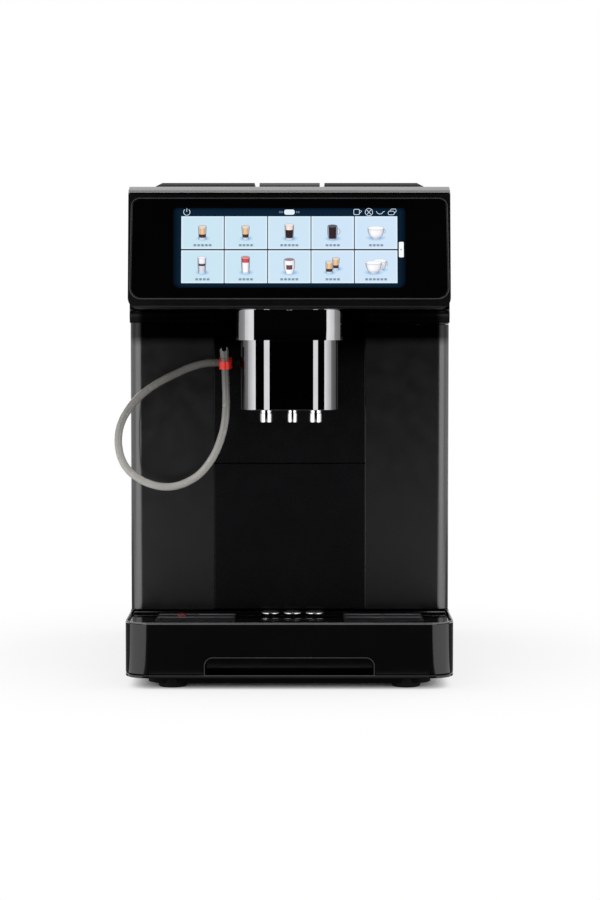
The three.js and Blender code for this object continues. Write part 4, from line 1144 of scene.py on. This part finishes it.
def floor_card(name, corner, azimuth, size, radiance):
    """A card lying on the floor, one corner at a place and one edge along an azimuth."""
    angle = math.radians(azimuth)
    along = Vector((math.sin(angle), -math.cos(angle), 0.0))
    across = Vector((math.cos(angle), math.sin(angle), 0.0)) * (1 if azimuth > 0 else -1)
    middle = Vector(corner) + along * size[1] / 2 + across * size[0] / 2
    card = area_light(name, middle, middle + Vector((0.0, 0.0, 1.0)), size, radiance)
    card.rotation_euler = (math.pi, 0.0, angle)


# inner corner, azimuth in degrees and size of the cards beside the machine, just over the floor
CARD_X, CARD_Y, ON_FLOOR = 0.17, -0.2, 0.003
CARD_AZIMUTH = 13
CARD_SIZE = (1.2, 1.4)


def studio_lights():
    """Soft walls left and right, cards on the floor, and boxes above and behind."""
    for name, sides in WALLS.items():
        for side, (first, last, radiance) in zip((-1, 1), sides):
            side_panel(f"{name}_{side}", (first + last) / 2 * side, (last - first) / 2, radiance)
    for side in (-1, 1):
        floor_card(f"floor_side_{side}", (CARD_X * side, CARD_Y, ON_FLOOR), CARD_AZIMUTH * side,
                   CARD_SIZE, 1.4)
    area_light("bounce", (0.0, -1.9, 0.004), (0.0, -1.9, 1.0), (2.0, 2.0), 0.2)
    area_light("toe", (0.0, -0.3, ON_FLOOR), (0.0, -0.3, 1.0), (0.3, 0.07), 0.25)
    area_light("sky", (0.0, -1.15, 1.9), (0.0, -0.2, 0.25), (2.2, 1.1), 0.9)
    area_light("overhead", (0.0, -0.05, 1.9), (0.0, 0.0, 0.0), (1.7, 1.3), 2.6)
    area_light("backdrop", (0.0, 3.0, 1.75), (0.0, 0.0, 1.2), (6.0, 2.5), 1.3)


def studio_world():
    """White to the eye and nearly dark to everything it lights."""
    world = bpy.data.worlds.new("studio")
    world.use_nodes = True
    scene.world = world
    tree = world.node_tree
    rays = tree.nodes.new("ShaderNodeLightPath")
    strength = tree.nodes.new("ShaderNodeMapRange")
    strength.inputs["To Min"].default_value = 0.003
    strength.inputs["To Max"].default_value = 1.0
    tree.links.new(rays.outputs["Is Camera Ray"], strength.inputs["Value"])
    tree.links.new(strength.outputs["Result"], tree.nodes["Background"].inputs["Strength"])
    tree.nodes["Background"].inputs["Color"].default_value = (1.0, 1.0, 1.0, 1.0)


def studio_floor():
    """Pale table: to the eye white with a soft contact shadow, to all it lights a dim card."""
    size = 30.0
    corners = [(-size, -size, 0), (size, -size, 0), (size, size, 0), (-size, size, 0)]
    floor = mesh_object("studio_floor", corners, [(0, 1, 2, 3)])
    nodes = Nodes("studio_floor").set(Base_Color=(0.012, 0.012, 0.012, 1.0), Roughness=0.6)
    make = nodes.tree.nodes
    open_sky = make.new("ShaderNodeAmbientOcclusion")
    open_sky.inputs["Distance"].default_value = 0.3
    stops = [(0.0, 0.0), (0.04, 0.05), (0.12, 0.4), (0.34, 0.8), (0.5, 0.87), (0.75, 0.93),
             (1.0, 1.0)]
    tone = nodes.ramp(open_sky.outputs["AO"], [(at, (grey, grey, grey, 1.0)) for at, grey in stops])
    glow = make.new("ShaderNodeEmission")
    nodes.link(tone, glow.inputs["Color"])
    rays = make.new("ShaderNodeLightPath")
    mix = make.new("ShaderNodeMixShader")
    nodes.link(rays.outputs["Is Camera Ray"], mix.inputs["Fac"])
    nodes.link(nodes.shader.outputs["BSDF"], mix.inputs[1])
    nodes.link(glow.outputs["Emission"], mix.inputs[2])
    nodes.link(mix.outputs["Shader"], make["Material Output"].inputs["Surface"])
    floor.data.materials.append(nodes.material)


studio_lights()
studio_world()
studio_floor()
scene.view_settings.view_transform = "Standard"
